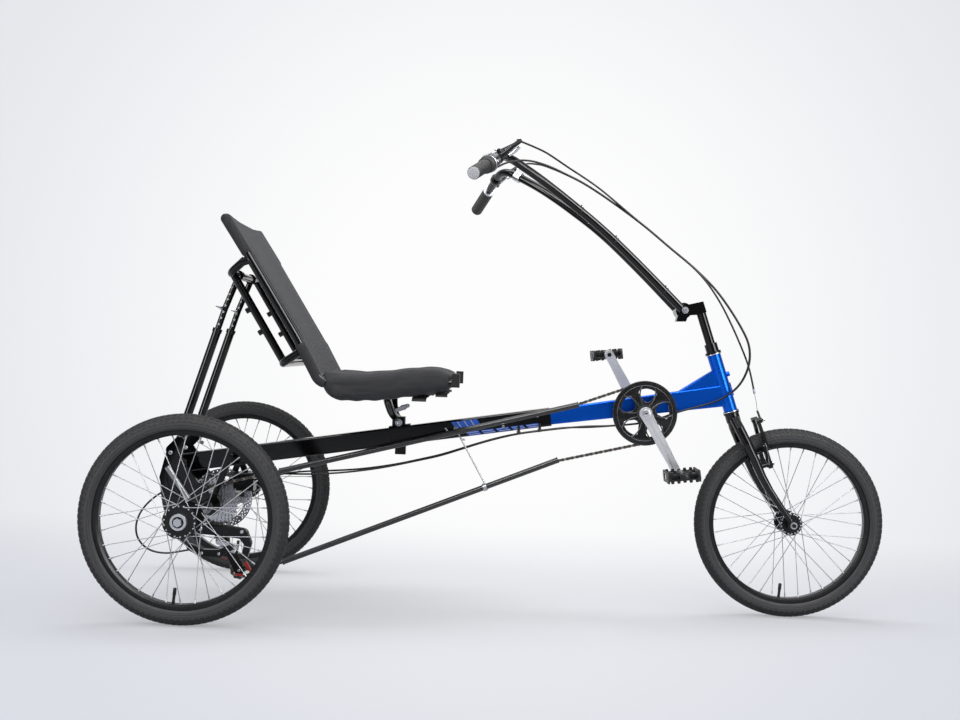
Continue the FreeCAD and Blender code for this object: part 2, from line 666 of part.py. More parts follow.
def rear_frame():
    """Two side frames carrying the axle, joined by two cross tubes through the main tube."""
    parts = []
    rear = (REAR_CROSS_X, tube_z(REAR_CROSS_X))
    middle = (MID_CROSS_X, tube_z(MID_CROSS_X))
    axle = (REAR_AXLE_X, 0.0)
    hoop = [(REAR_AXLE_X + x, z) for x, z in SIDE_HOOP]
    corner = [(REAR_AXLE_X + x, z) for x, z in SIDE_CORNER]
    for side in (-1, 1):
        y = side * SIDE_FRAME_Y
        parts.append(strap([rear] + corner, SIDE_CORNER_WIDTH, y, SIDE_FRAME_THICK))
        parts.append(strap([corner[0]] + hoop + [axle], SIDE_HOOP_WIDTH, y, SIDE_FRAME_THICK))
        parts.append(strap((rear, axle), SIDE_BRACE_WIDTH, y, SIDE_FRAME_THICK))
        parts.append(strap((middle, axle), SIDE_BRACE_WIDTH, y, SIDE_FRAME_THICK))
        parts.append(prism([rear] + hoop + [axle], y - SIDE_WEB_THICK / 2, y + SIDE_WEB_THICK / 2))
        parts.append(y_rod(axle[0], axle[1], y - AXLE_BOSS_LENGTH / 2, y + AXLE_BOSS_LENGTH / 2, AXLE_BOSS_R))
        (xa, za), (xb, zb) = SIDE_STAY
        stay_y = side * SIDE_STAY_Y
        parts.append(rod(vec(REAR_AXLE_X + xa, stay_y, za), vec(REAR_AXLE_X + xb, stay_y, zb), SIDE_STAY_R))
    for x in (REAR_CROSS_X, MID_CROSS_X):
        parts.append(y_rod(x, tube_z(x), -SIDE_FRAME_Y, SIDE_FRAME_Y, CROSS_TUBE_R))
    solid = join(parts)
    return solid.cut(y_rod(REAR_AXLE_X, 0, -SIDE_FRAME_Y - AXLE_BOSS_LENGTH, SIDE_FRAME_Y + AXLE_BOSS_LENGTH, HOUSING_R))


def build_rear_axle():
    save("rear_side_frames", rear_frame())
    inner = SIDE_FRAME_Y - AXLE_BOSS_LENGTH / 2
    left = y_pipe(REAR_AXLE_X, 0, inner, HOUSING_END, HOUSING_R, SHAFT_R + RUN_GAP)
    right = y_rod(REAR_AXLE_X, 0, -inner, -HOUSING_END, HOUSING_R)
    right = right.cut(y_rod(REAR_AXLE_X, 0, -inner + 1, -inner - SHAFT_BEARING, SHAFT_R + RUN_GAP))
    right = right.cut(y_rod(REAR_AXLE_X, 0, -HOUSING_END + STUB_DEPTH, -HOUSING_END - 1, SHAFT_R))
    save("axle_housings", left, right)
    hub_end = TRACK / 2 + REAR_HUB_END
    tip = hub_end + AXLE_NUT_LENGTH + 1
    stub = join([y_rod(REAR_AXLE_X, 0, -HOUSING_END + STUB_DEPTH, -tip, SHAFT_R),
                 hex_nut(-hub_end - RUN_GAP, -hub_end - AXLE_NUT_LENGTH)])
    save("stub_axle", stub)
    carrier = ROTOR_THICK / 2 + 3
    shaft = join([y_rod(REAR_AXLE_X, 0, -inner - SHAFT_BEARING + 1, tip, SHAFT_R),
                  hex_nut(hub_end, hub_end + AXLE_NUT_LENGTH),
                  y_rod(REAR_AXLE_X, 0, ROTOR_Y - carrier, ROTOR_Y + carrier, ROTOR_CARRIER_R)])
    slot = y_pipe(REAR_AXLE_X, 0, ROTOR_Y - ROTOR_THICK / 2, ROTOR_Y + ROTOR_THICK / 2, ROTOR_R, SHAFT_R + 2)
    shaft = shaft.cut(slot)
    save("axle_shaft", shaft)
    save("brake_rotor", brake_rotor())
    save("brake_caliper", brake_caliper())


def hex_nut(y0, y1):
    points = []
    for step in range(6):
        turn = math.radians(60 * step + 30)
        points.append((REAR_AXLE_X + AXLE_NUT_R * math.cos(turn), AXLE_NUT_R * math.sin(turn)))
    return prism(points, y0, y1)


def brake_rotor():
    y0 = ROTOR_Y - ROTOR_THICK / 2
    y1 = ROTOR_Y + ROTOR_THICK / 2
    track = y_pipe(REAR_AXLE_X, 0, y0, y1, ROTOR_R, ROTOR_R - ROTOR_TRACK)
    centre = y_pipe(REAR_AXLE_X, 0, y0, y1, ROTOR_CENTRE_R, SHAFT_R + 2)
    parts = [track, centre]
    near = ROTOR_CENTRE_R - ROTOR_ARM_WIDTH / 2
    far = ROTOR_R - ROTOR_TRACK + ROTOR_ARM_WIDTH / 2
    for step in range(ROTOR_ARMS):
        turn = 2 * math.pi * step / ROTOR_ARMS
        skew = turn + math.radians(ROTOR_ARM_SKEW)
        start = (REAR_AXLE_X + near * math.cos(turn), near * math.sin(turn))
        end = (REAR_AXLE_X + far * math.cos(skew), far * math.sin(skew))
        parts.append(strap((start, end), ROTOR_ARM_WIDTH, ROTOR_Y, ROTOR_THICK))
    return join(parts)


def brake_caliper():
    """Two-sided caliper over the rotor's front edge, on a bracket from the left side frame."""
    turn = math.radians(CALIPER_ANGLE)
    reach = ROTOR_R - ROTOR_TRACK / 2
    x = REAR_AXLE_X + reach * math.cos(turn)
    z = reach * math.sin(turn)
    (x0, x1), (y0, y1), (z0, z1) = CALIPER_BODY
    body = box(x + x0, x + x1, ROTOR_Y + y0, ROTOR_Y + y1, z + z0, z + z1)
    slot = y_rod(REAR_AXLE_X, 0, ROTOR_Y - CALIPER_SLOT, ROTOR_Y + CALIPER_SLOT, ROTOR_R + CALIPER_SLOT)
    top = (MID_CROSS_X, tube_z(MID_CROSS_X) - 2 * CROSS_TUBE_R)
    bracket = strap(((x, z + z1), top), SIDE_BRACE_WIDTH, SIDE_FRAME_Y - SIDE_FRAME_THICK, SIDE_FRAME_THICK)
    return join([body.cut(slot), bracket]).cut(rear_frame())


# ---------------------------------------------------------------- seat
def rail_points(side):
    return [vec(x, side * RAIL_Y, z) for x, z in RAIL_ROUTE]


def back_outline():
    """Outline of the seat back: the rail's line thickened to both sides."""
    line = list(RAIL_ROUTE[:4])
    first = vec(line[0][0], 0, line[0][1])
    along = (first - vec(line[1][0], 0, line[1][1])).normalize()
    top = first + along * BACK_TOP
    line[0] = (top.x, top.z)
    front = []
    rear = []
    for index, (x, z) in enumerate(line):
        before = line[max(index - 1, 0)]
        after = line[min(index + 1, len(line) - 1)]
        run = math.hypot(after[0] - before[0], after[1] - before[1])
        nx = -(after[1] - before[1]) / run * BACK_THICK / 2
        nz = (after[0] - before[0]) / run * BACK_THICK / 2
        front.append((x + nx, z + nz))
        rear.append((x - nx, z - nz))
    return front + rear[::-1]


def end_plug(side):
    """Cap over a side rail's open front end."""
    x, z = RAIL_ROUTE[-1]
    y = side * RAIL_Y
    z += PLUG_RISE
    return box(x - PLUG_BEHIND, x + PLUG_AHEAD, y - PLUG_WIDTH / 2, y + PLUG_WIDTH / 2,
               z - PLUG_HEIGHT / 2, z + PLUG_HEIGHT / 2)


def cushion_body():
    return prism(CUSHION_OUTLINE, -SEAT_HALF_WIDTH, SEAT_HALF_WIDTH)


def build_seat():
    rails = [bent_tube(rail_points(side), RAIL_R, RAIL_BEND) for side in (-1, 1)]
    for x, z in SEAT_CROSSES:
        rails.append(y_rod(x, z, -RAIL_Y, RAIL_Y, SEAT_CROSS_R))
    frame = join(rails)
    plugs = [end_plug(side).cut(frame) for side in (-1, 1)]
    back = back_pad_room().cut(cushion_body()).cut(frame)
    cushion = cushion_body().cut(frame).cut(Part.makeCompound(plugs))
    save("seat_frame", frame)
    save("seat_back_pad", max(back.Solids, key=lambda solid: solid.Volume))
    save("seat_cushion", max(cushion.Solids, key=lambda solid: solid.Volume))
    save("seat_end_plugs", *plugs)
    save("seat_brace", seat_brace(frame))
    build_struts()
    build_seat_clamp(frame)


def brace_loop(rail_end, elbow):
    """One tube from rail to rail behind the back."""
    points = [vec(x, RAIL_Y - inboard, z) for x, inboard, z in (rail_end, elbow)]
    return bent_tube(points + [vec(p.x, -p.y, p.z) for p in reversed(points)], BRACE_R, BRACE_BEND)


def boss_centres(side):
    """The two threaded bosses' places on a long brace tube, on its centre line."""
    (xa, za), (xb, zb) = LONG_BRACE
    upper = vec(xa, side * LONG_BRACE_Y, za)
    lower = vec(xb, side * LONG_BRACE_Y, zb)
    along = (lower - upper).normalize()
    middle = (upper + lower) * 0.5
    return middle - along * (BOSS_SPACING / 2), middle + along * (BOSS_SPACING / 2), vec(along.z, 0, -along.x)


def seat_brace(frame):
    """Two loops across the back and two long tubes between them, with bosses for a rack."""
    parts = [brace_loop(*UPPER_BRACE), brace_loop(*LOWER_BRACE)]
    holes = []
    (xa, za), (xb, zb) = LONG_BRACE
    for side in (-1, 1):
        y = side * LONG_BRACE_Y
        parts.append(rod(vec(xa, y, za), vec(xb, y, zb), BRACE_R))
        first, second, out = boss_centres(side)
        for centre in (first, second):
            face = centre + out * (BRACE_R + BOSS_OUT)
            parts.append(rod(centre, face, BOSS_R))
            holes.append(rod(face - out * BOSS_HOLE_DEPTH, face + out, M5_HOLE_R))
    solid = join(parts)
    for hole in holes:
        solid = solid.cut(hole)
    return solid.cut(frame).cut(back_pad_room())


def back_pad_room():
    return prism(back_outline(), -SEAT_HALF_WIDTH, SEAT_HALF_WIDTH)


def build_struts():
    """Telescoping struts from the rear cross tube up to eyes on the upper brace."""
    outer = []
    inner = []
    x, z = LONG_BRACE[0]
    for side in (-1, 1):
        y = side * STRUT_Y
        foot = vec(STRUT_FOOT[0], y, STRUT_FOOT[1])
        joint = vec(STRUT_JOIN[0], y, STRUT_JOIN[1])
        bend = vec(STRUT_BEND_AT[0], y, STRUT_BEND_AT[1])
        start = joint - (joint - foot).normalize() * STRUT_OVERLAP
        outer.append(pipe(foot, joint, STRUT_OUTER_R, STRUT_INNER_R))
        tube = bent_tube([start, bend, vec(x, y, z)], STRUT_INNER_R, STRUT_BEND)
        tube = tube.fuse(y_rod(x, z, y - STRUT_EYE_HALF, y + STRUT_EYE_HALF, BRACE_R + STRUT_EYE_WALL))
        tube = tube.cut(y_rod(x, z, y - 2 * STRUT_EYE_HALF, y + 2 * STRUT_EYE_HALF, BRACE_R)).removeSplitter()
        inner.append(max(tube.Solids, key=lambda solid: solid.Volume))
    frame = rear_frame()
    save("strut_outer_tubes", *[tube.cut(frame).cut(rod_inside) for tube, rod_inside in zip(outer, inner)])
    save("strut_inner_tubes", *inner)


def build_seat_clamp(frame):
    half = SEAT_CLAMP_LENGTH / 2
    wall = 2 * SEAT_CLAMP_WALL
    x0 = SEAT_CLAMP_X - half
    x1 = SEAT_CLAMP_X + half
    sleeve = tube_run(x0, x1, MAIN_TUBE_HEIGHT + wall, MAIN_TUBE_WIDTH + wall, MAIN_TUBE_CORNER_R + SEAT_CLAMP_WALL)
    top = tube_z(SEAT_CLAMP_X) + MAIN_TUBE_HEIGHT / 2
    (lug_x0, lug_x1), lug_half, lug_high = CLAMP_LUG
    (foot_x0, foot_x1), foot_half, foot_high = CLAMP_FOOT
    lug = box(SEAT_CLAMP_X + lug_x0, SEAT_CLAMP_X + lug_x1, -lug_half, lug_half, top, top + lug_high)
    low = top - MAIN_TUBE_HEIGHT
    under = box(SEAT_CLAMP_X + foot_x0, SEAT_CLAMP_X + foot_x1, -foot_half, foot_half, low - foot_high, low)
    room = tube_run(x0 - half, x1 + half, MAIN_TUBE_HEIGHT, MAIN_TUBE_WIDTH, MAIN_TUBE_CORNER_R)
    points = [vec(x, RAIL_Y - inboard, z) for x, inboard, z in BRACKET_ROUTE]
    arm = bent_tube(points + [vec(p.x, -p.y, p.z) for p in reversed(points)], BRACKET_R, BRACKET_BEND)
    arm = arm.cut(frame).cut(cushion_body())
    arm = max(arm.Solids, key=lambda solid: solid.Volume)
    save("seat_clamp", join([sleeve, lug, under]).cut(room).cut(arm))
    save("seat_bracket", arm)


# ---------------------------------------------------------------- steering
def brake_pivot():
    """The front brake's pivots: forward and up on the head, held to the wheel's axle and rim."""
    axle_f, axle_s = axle_on_head()
    return axle_f - BRAKE_PIVOT_BACK, axle_s + RIM_OUTER_R - BRAKE_PIVOT_INSET


def fork():
    axle_f, axle_s = axle_on_head()
    # leg stations: forward, sideways, up, radius
    stations = ((0.0, 20.0, -22.0, LEG_TOP_R), (2.0, 38.0, -48.0, LEG_TOP_R), (8.0, LEG_Y - 2, -92.0, LEG_TOP_R),
                (15.0, LEG_Y, -141.0, 12.0), (20.0, LEG_Y, -184.0, 11.0), (29.0, LEG_Y, -227.0, 10.0),
                (43.0, LEG_Y + 2, -272.0, 8.5), (axle_f - 3, LEG_Y + 3, axle_s + 14, LEG_END_R))
    parts = [rod(on_head(0, 0, -22), on_head(0, 0, HEAD_LENGTH + CUP_HEIGHT + 10), STEERER_R),
             rod(on_head(0, 0, -CROWN_DEPTH), on_head(0, 0, -CUP_HEIGHT - RUN_GAP), CROWN_R)]
    for side in (-1, 1):
        rings = []
        for index, (forward, y, up, radius) in enumerate(stations):
            before = stations[max(index - 1, 0)]
            after = stations[min(index + 1, len(stations) - 1)]
            run = on_head(after[0], side * after[1], after[2]) - on_head(before[0], side * before[1], before[2])
            ring = Part.Circle(on_head(forward, side * y, up), run, radius).toShape()
            rings.append(Part.Wire(ring))
        parts.append(Part.makeLoft(rings, True, True))
        tip_y = side * (DROPOUT_WIDTH / 2 + 3)
        tip = y_rod(FRONT_AXLE_X, 0, side * DROPOUT_WIDTH / 2, side * (DROPOUT_WIDTH / 2 + 6), 13)
        parts.append(tip)
        end = on_head(axle_f - 3, tip_y, axle_s + 16)
        parts.append(rod(end, end + (vec(FRONT_AXLE_X, tip_y, 0) - end) * 0.6, 5.5))
        pivot_f, pivot_s = brake_pivot()
        boss = rod(on_head(16, side * BRAKE_PIVOT_Y, pivot_s),
                   on_head(pivot_f - BRAKE_ARM_THICK / 2, side * BRAKE_PIVOT_Y, pivot_s), 6)
        parts.append(boss)
    solid = join(parts)
    wheel_room = y_rod(FRONT_AXLE_X, 0, -DROPOUT_WIDTH / 2, DROPOUT_WIDTH / 2, 24)
    solid = solid.cut(wheel_room)
    for side in (-1, 1):
        outside = side * (DROPOUT_WIDTH / 2 + 6)
        solid = solid.cut(y_rod(FRONT_AXLE_X, 0, outside, outside + side * 20, 10))
    return solid.cut(y_rod(FRONT_AXLE_X, 0, -DROPOUT_WIDTH, DROPOUT_WIDTH, FRONT_AXLE_R))


def post():
    """Stem: collar and upright on the steerer, a mitred arm and the bars' clamp."""
    base = HEAD_LENGTH + CUP_HEIGHT + RUN_GAP
    collar = rod(on_head(0, 0, base), on_head(0, 0, base + 22), 17)
    corner = from_front((POST_CORNER[0], 0, POST_CORNER[1]))
    reach = (corner - HEAD_BOTTOM).dot(HEAD_UP)
    upright = rod(on_head(0, 0, base + 12), on_head(0, 0, reach - POST_R), POST_R)
    pivot = vec(BAR_PIVOT_X, 0, BAR_PIVOT_Z)
    along = (corner - pivot).normalize()
    half = POST_ARM_DEPTH / 2
    down = vec(along.z, 0, -along.x) * half
    knee = on_head(POST_R, 0, reach + 4)
    heel = on_head(POST_R, 0, reach - 26)
    rear = on_head(-POST_R, 0, reach - 26)
    outline = [(p.x, p.z) for p in (pivot - down, knee, heel, rear, pivot + down)]
    arm = prism(outline, -POST_R, POST_R)
    clamp = y_rod(BAR_PIVOT_X, BAR_PIVOT_Z, -BAR_CLAMP_HALF, BAR_CLAMP_HALF, BAR_CLAMP_R)
    jaw = prism([(BAR_PIVOT_X + x, BAR_PIVOT_Z + z) for x, z in BAR_JAW], -BAR_JAW_HALF, BAR_JAW_HALF)
    solid = join([collar, upright, arm, clamp, jaw])
    solid = solid.cut(rod(on_head(0, 0, base - 1), on_head(0, 0, HEAD_LENGTH + CUP_HEIGHT + 10), STEERER_R))
    return solid.cut(y_rod(BAR_PIVOT_X, BAR_PIVOT_Z, -2 * BAR_CLAMP_HALF, 2 * BAR_CLAMP_HALF, BAR_PIVOT_R))


GRIP_END = from_front(BAR_ROUTE[-1])
GRIP_RUN = (GRIP_END - from_front(BAR_ROUTE[-2])).normalize()


def on_grip(back, side):
    """A point on the grip's line, measured back from its outer end."""
    point = GRIP_END - GRIP_RUN * back
    return vec(point.x, side * point.y, point.z)


def sleeve(side, outer_end, inner_end, radius):
    """Ring around the bar between two distances from its outer end."""
    return pipe(on_grip(outer_end, side), on_grip(inner_end, side), radius, BAR_R)


def brake_lever(side):
    """Clamp ring, perch and blade ahead of the grip."""
    first, last = LEVER_BAND_SPAN
    band = sleeve(side, first, last, LEVER_BAND_R)
    middle = on_grip((first + last) / 2, side)
    ahead = vec(*LEVER_AHEAD[side])
    knuckle = middle + ahead * LEVER_PERCH
    body = rod(middle + ahead * (BAR_R + 1), knuckle, LEVER_PERCH_R)
    tip = from_front((LEVER_TIP[0], side * LEVER_TIP[1], LEVER_TIP[2]))
    blade = rod(knuckle, tip, LEVER_BLADE_R)
    ends = [Part.makeSphere(LEVER_PERCH_R + 2, knuckle), Part.makeSphere(LEVER_BLADE_R, tip)]
    bar = rod(on_grip(0, side), on_grip(last + 20, side), BAR_R)
    return join([band, body, blade] + ends).cut(bar)


def twist_shifter():
    """Round housing inboard of the right grip, with a tapering nose."""
    start, end = SHIFTER_SPAN
    run = on_grip(end, -1) - on_grip(SHIFTER_END, -1)
    nose = Part.makeCone(SHIFTER_NOSE_END_R, SHIFTER_NOSE_R, run.Length, on_grip(SHIFTER_END, -1), run)
    nose = nose.cut(rod(on_grip(start, -1), on_grip(SHIFTER_END + 1, -1), BAR_R))
    return join([sleeve(-1, start, end, SHIFTER_R), nose])


def grip(side):
    """Rubber grip with a closed end."""
    length = RIGHT_GRIP_LENGTH if side < 0 else LEFT_GRIP_LENGTH
    return join([sleeve(side, 0, length, GRIP_R), rod(on_grip(-GRIP_CAP, side), on_grip(0, side), GRIP_R)])


def build_steering():
    save("fork", fork())
    save("steering_post", post())
    bars = [y_rod(BAR_PIVOT_X, BAR_PIVOT_Z, -BAR_PIVOT_HALF, BAR_PIVOT_HALF, BAR_PIVOT_R)]
    for side in (-1, 1):
        bars.append(bent_tube([from_front((x, side * y, z)) for x, y, z in BAR_ROUTE], BAR_R, None, BAR_ELBOW_R))
    save("handlebars", join(bars))
    save("grips", grip(-1), grip(1))
    save("bar_end_ring", sleeve(1, LEFT_GRIP_LENGTH + SEAT_GAP, LEFT_RING_END, GRIP_R + 2))
    save("twist_shifter", twist_shifter())
    save("brake_levers", brake_lever(-1), brake_lever(1))
    save("front_brake", *front_brake())
    half = DROPOUT_WIDTH / 2
    axle = y_rod(FRONT_AXLE_X, 0, -half - 13, half + 13, FRONT_AXLE_R)
    ends = [y_rod(FRONT_AXLE_X, 0, side * (half + 6), side * (half + 13), 9) for side in (-1, 1)]
    save("front_axle", join([axle] + ends))


def front_brake():
    """Two arms on the fork's bosses with a pad each; the pads clear the rim."""
    arms = []
    axle_f, axle_s = axle_on_head()
    pivot_f, pivot_s = brake_pivot()
    pad_side = RIM_WIDTH / 2 + PAD_GAP
    reach = (RIM_OUTER_R + RIM_INNER_R) / 2 - 2
    for side in (-1, 1):
        low = on_head(pivot_f, side * BRAKE_PIVOT_Y, pivot_s - 6)
        high = on_head(pivot_f + BRAKE_ARM_LEAN, side * BRAKE_TOP_Y, pivot_s + BRAKE_ARM_LENGTH)
        arm = rod(low, high, BRAKE_ARM_WIDTH / 2)
        eye = rod(on_head(pivot_f - 5, side * BRAKE_PIVOT_Y, pivot_s),
                  on_head(pivot_f + 7, side * BRAKE_PIVOT_Y, pivot_s), 9)
        turn = math.atan2(pivot_f - axle_f, pivot_s + 22 - axle_s)
        pad_f = axle_f + reach * math.sin(turn)
        pad_s = axle_s + reach * math.cos(turn)
        along = (HEAD_FORWARD * math.cos(turn) - HEAD_UP * math.sin(turn))
        middle = on_head(pad_f, side * (pad_side + PAD_R), pad_s)
        pad = rod(middle - along * (PAD_LENGTH / 2), middle + along * (PAD_LENGTH / 2), PAD_R)
        holder = rod(middle, on_head(pad_f, side * (BRAKE_PIVOT_Y - 4), pad_s), 4)
        arms.append(join([arm, eye, pad, holder]).cut(fork()))
    return arms


# ---------------------------------------------------------------- cranks and pedals
def crank_dir(side):
    turn = math.radians(CRANK_ANGLE if side < 0 else CRANK_ANGLE + 180)
    return math.cos(turn), math.sin(turn)


def pedal_centre(side):
    dx, dz = crank_dir(side)
    return BB_X + CRANK_LENGTH * dx, BB_Z + CRANK_LENGTH * dz


def crank_arms():
    """Both arms on one spindle, each with its pedal spindle."""
    parts = [y_rod(BB_X, BB_Z, -CRANK_Y, CRANK_Y, BB_SPINDLE_R)]
    pedal_end = PEDAL_INNER_Y + PEDAL_WIDTH
    for side in (-1, 1):
        px, pz = pedal_centre(side)
        y0 = side * CRANK_Y - CRANK_THICK / 2
        y1 = side * CRANK_Y + CRANK_THICK / 2
        dx, dz = crank_dir(side)
        root = CRANK_BOSS_R
        tip = CRANK_EYE_R
        parts.append(y_rod(BB_X, BB_Z, y0, y1, root))
        parts.append(y_rod(px, pz, y0, y1, tip))
        parts.append(prism(((BB_X - dz * root, BB_Z + dx * root), (px - dz * tip, pz + dx * tip),
                            (px + dz * tip, pz - dx * tip), (BB_X + dz * root, BB_Z - dx * root)), y0, y1))
        parts.append(y_rod(px, pz, side * CRANK_Y, side * (pedal_end - 8), PEDAL_SPINDLE_R))
        parts.append(y_rod(px, pz, side * CRANK_Y, side * (PEDAL_INNER_Y - 5), PEDAL_SPINDLE_R + 4))
    return join(parts)


def chainring():
    """Ring, five-armed spider and outer guard, all turning with the right arm."""
    root_r = RING_PITCH_R - CHAIN_HEIGHT / 2 - RUN_GAP
    y_ring = CHAIN_Y
    chain_side = CHAIN_Y - CHAIN_WIDTH / 2 - RUN_GAP - 0.5
    inner_face = CHAIN_Y - RING_THICK / 2
    spider_y0 = chain_side - GUARD_THICK
    parts = [y_pipe(BB_X, BB_Z, inner_face, y_ring + RING_THICK / 2, root_r, root_r - 14),
             y_pipe(BB_X, BB_Z, spider_y0, chain_side, GUARD_R, root_r - 8),
             y_pipe(BB_X, BB_Z, spider_y0, inner_face, root_r - 1, root_r - 8),
             y_rod(BB_X, BB_Z, spider_y0 - 4, inner_face, 22)]
    for step in range(5):
        turn = math.radians(CRANK_ANGLE + 36 + 72 * step)
        start = (BB_X, BB_Z)
        end = (BB_X + (root_r - 10) * math.cos(turn), BB_Z + (root_r - 10) * math.sin(turn))
        parts.append(strap((start, end), 16, (spider_y0 + inner_face) / 2, inner_face - spider_y0))
    return join(parts).cut(crank_arms())


def pedal(side):
    """Cage pedal: a barrel on the spindle, four cage plates and two cross webs."""
    px, pz = pedal_centre(side)
    y0 = PEDAL_INNER_Y
    y1 = PEDAL_INNER_Y + PEDAL_WIDTH
    half = PEDAL_LENGTH / 2
    high = PEDAL_HEIGHT / 2
    outer = box(px - half, px + half, y0, y1, pz - high, pz + high)
    window = box(px - half + PEDAL_PLATE, px + half - PEDAL_PLATE, y0 + 8, y1 - 8, pz - high - 1, pz + high + 1)
    cage = outer.cut(window)
    slot = box(px - half - 1, px + half + 1, y0 + 14, y1 - 14, pz - high + 9, pz + high - 9)
    parts = [cage.cut(slot), y_rod(px, pz, y0, y1, PEDAL_BARREL_R)]
    for shift in (-1, 1):
        y = (y0 + y1) / 2 + shift * 22
        parts.append(box(px - half, px + half, y - 4, y + 4, pz - high + 4, pz + high - 4))
    solid = join(parts).cut(y_rod(px, pz, y0 - 1, y1 - 6, PEDAL_SPINDLE_R + RUN_GAP))
    return solid if side > 0 else mirror_y(solid)


def build_cranks():
    save("chainring", chainring())
    save("crank_arms", crank_arms())
    save("pedal_right", pedal(-1))
    save("pedal_left", pedal(1))


# ---------------------------------------------------------------- chain line
def belt_edges(stations):
    """Edges of a belt over stations x, z, signed radius; positive radii are passed anticlockwise."""
    runs = []
    for (xa, za, ra), (xb, zb, rb) in zip(stations, stations[1:]):
        length = math.hypot(xb - xa, zb - za)
        normal = math.atan2(zb - za, xb - xa) + math.acos((rb - ra) / length)
        nx = math.cos(normal)
        nz = math.sin(normal)
        runs.append((vec(xa - nx * ra, 0, za - nz * ra), vec(xb - nx * rb, 0, zb - nz * rb)))
    edges = []
    for index, (start, end) in enumerate(runs):
        edges.append(Part.LineSegment(start, end).toShape())
        if index + 1 < len(runs):
            x, z, radius = stations[index + 1]
            leave = runs[index + 1][0]
            a0 = math.atan2(end.z - z, end.x - x)
            a1 = math.atan2(leave.z - z, leave.x - x)
            sweep = (a1 - a0) % (2 * math.pi)
            if radius < 0:
                sweep -= 2 * math.pi
            if abs(sweep) * abs(radius) < 0.05 or abs(sweep) > 2 * math.pi - 0.02:
                edges.append(Part.LineSegment(end, leave).toShape())
                continue
            mid = a0 + sweep / 2
            middle = vec(x + abs(radius) * math.cos(mid), 0, z + abs(radius) * math.sin(mid))
            edges.append(Part.Arc(end, middle, leave).toShape())
    return edges


def chain_band(stations):
    """Band of the chain's height and width over the stations."""
    outer = belt_edges([(x, z, r + CHAIN_HEIGHT / 2) for x, z, r in stations])
    inner = belt_edges([(x, z, r - CHAIN_HEIGHT / 2) for x, z, r in stations])
    caps = [Part.LineSegment(outer[0].firstVertex().Point, inner[0].firstVertex().Point).toShape(),
            Part.LineSegment(outer[-1].lastVertex().Point, inner[-1].lastVertex().Point).toShape()]
    wire = Part.Wire(Part.__sortEdges__(outer + inner + caps))
    band = Part.Face(wire).extrude(vec(0, CHAIN_WIDTH, 0))
    band.translate(vec(0, CHAIN_Y - CHAIN_WIDTH / 2, 0))
    return band


def into_tube(tube, end, depth):
    """A point inside a chain tube, measured in from one of its ends."""
    (xa, za), (xb, zb) = tube
    length = math.hypot(xb - xa, zb - za)
    share = depth / length if end == 0 else 1 - depth / length
    return xa + (xb - xa) * share, za + (zb - za) * share


def build_chain_line():
    front = chain_band((into_tube(LOWER_TUBE, 1, 4) + (0,), (BB_X, BB_Z, RING_PITCH_R),
                        into_tube(UPPER_TUBE, 1, 4) + (0,)))
    rear = chain_band((into_tube(UPPER_TUBE, 0, 4) + (0,), (REAR_AXLE_X, 0, COG_R),
                       GUIDE_PULLEY + (-PULLEY_R,), TENSION_PULLEY + (PULLEY_R,),
                       into_tube(LOWER_TUBE, 0, 4) + (0,)))
    save("chain", front, rear)
    tubes = []
    for (xa, za), (xb, zb) in (UPPER_TUBE, LOWER_TUBE):
        tubes.append(pipe(vec(xa, CHAIN_Y, za), vec(xb, CHAIN_Y, zb), CHAIN_TUBE_R, CHAIN_TUBE_BORE_R))
    save("chain_tubes", *tubes)
    save("cassette", cassette().cut(rear))
    save("rear_derailleur", derailleur(rear))
    save("chain_tube_hanger", hanger(tubes))


def sprocket(teeth, y_mid):
    pitch_r = CHAIN_PITCH / (2 * math.sin(math.pi / teeth))
    points = []
    for tooth in range(teeth):
        for share, rise in ((-0.3, -3.4), (-0.14, 2.2), (0.14, 2.2), (0.3, -3.4)):
            turn = 2 * math.pi * (tooth + share) / teeth
            reach = pitch_r + rise
            points.append((REAR_AXLE_X + reach * math.cos(turn), reach * math.sin(turn)))
    return prism(points, y_mid - COG_THICK / 2, y_mid + COG_THICK / 2)


def cassette():
    first = CHAIN_Y + 3 * COG_PITCH
    y0 = first - (COG_COUNT - 1) * COG_PITCH - 3
    parts = [y_rod(REAR_AXLE_X, 0, y0, first + 3, 20)]
    for index in range(COG_COUNT):
        teeth = COG_SMALL_TEETH + COG_STEP_TEETH * (COG_COUNT - 1 - index)
        parts.append(sprocket(teeth, first - index * COG_PITCH))
    return join(parts).cut(y_rod(REAR_AXLE_X, 0, 2 * CHAIN_Y, 0, SHAFT_R + RUN_GAP))


def derailleur(rear_chain):
    """Cage with two pulleys, and a body of two links hung from the right side frame."""
    y_in = CHAIN_Y + CAGE_HALF
    y_out = CHAIN_Y - CAGE_HALF
    parts = []
    for y in (y_in, y_out):
        parts.append(strap((GUIDE_PULLEY, TENSION_PULLEY), CAGE_WIDTH, y, CAGE_THICK))
    for x, z in (GUIDE_PULLEY, TENSION_PULLEY):
        parts.append(y_rod(x, z, y_out, y_in, 4))
        parts.append(y_rod(x, z, CHAIN_Y - 3, CHAIN_Y + 3, PULLEY_R - CHAIN_HEIGHT / 2 - SEAT_GAP))
    link_y = y_out - CAGE_THICK / 2 - LINK_THICK / 2
    for points, width in (UPPER_LINK, LOWER_LINK):
        parts.append(strap([(REAR_AXLE_X + x, z) for x, z in points], width, link_y, LINK_THICK))
    knuckle = (REAR_AXLE_X + UPPER_LINK[0][0][0], UPPER_LINK[0][0][1])
    parts.append(strap((knuckle, (REAR_AXLE_X, -AXLE_BOSS_R)), HANGER_WIDTH, -SIDE_FRAME_Y, SIDE_FRAME_THICK))
    parts.append(y_rod(knuckle[0], knuckle[1], y_out - 1, -SIDE_FRAME_Y - SIDE_FRAME_THICK, 11))
    return join(parts).cut(rear_frame()).cut(rear_chain)


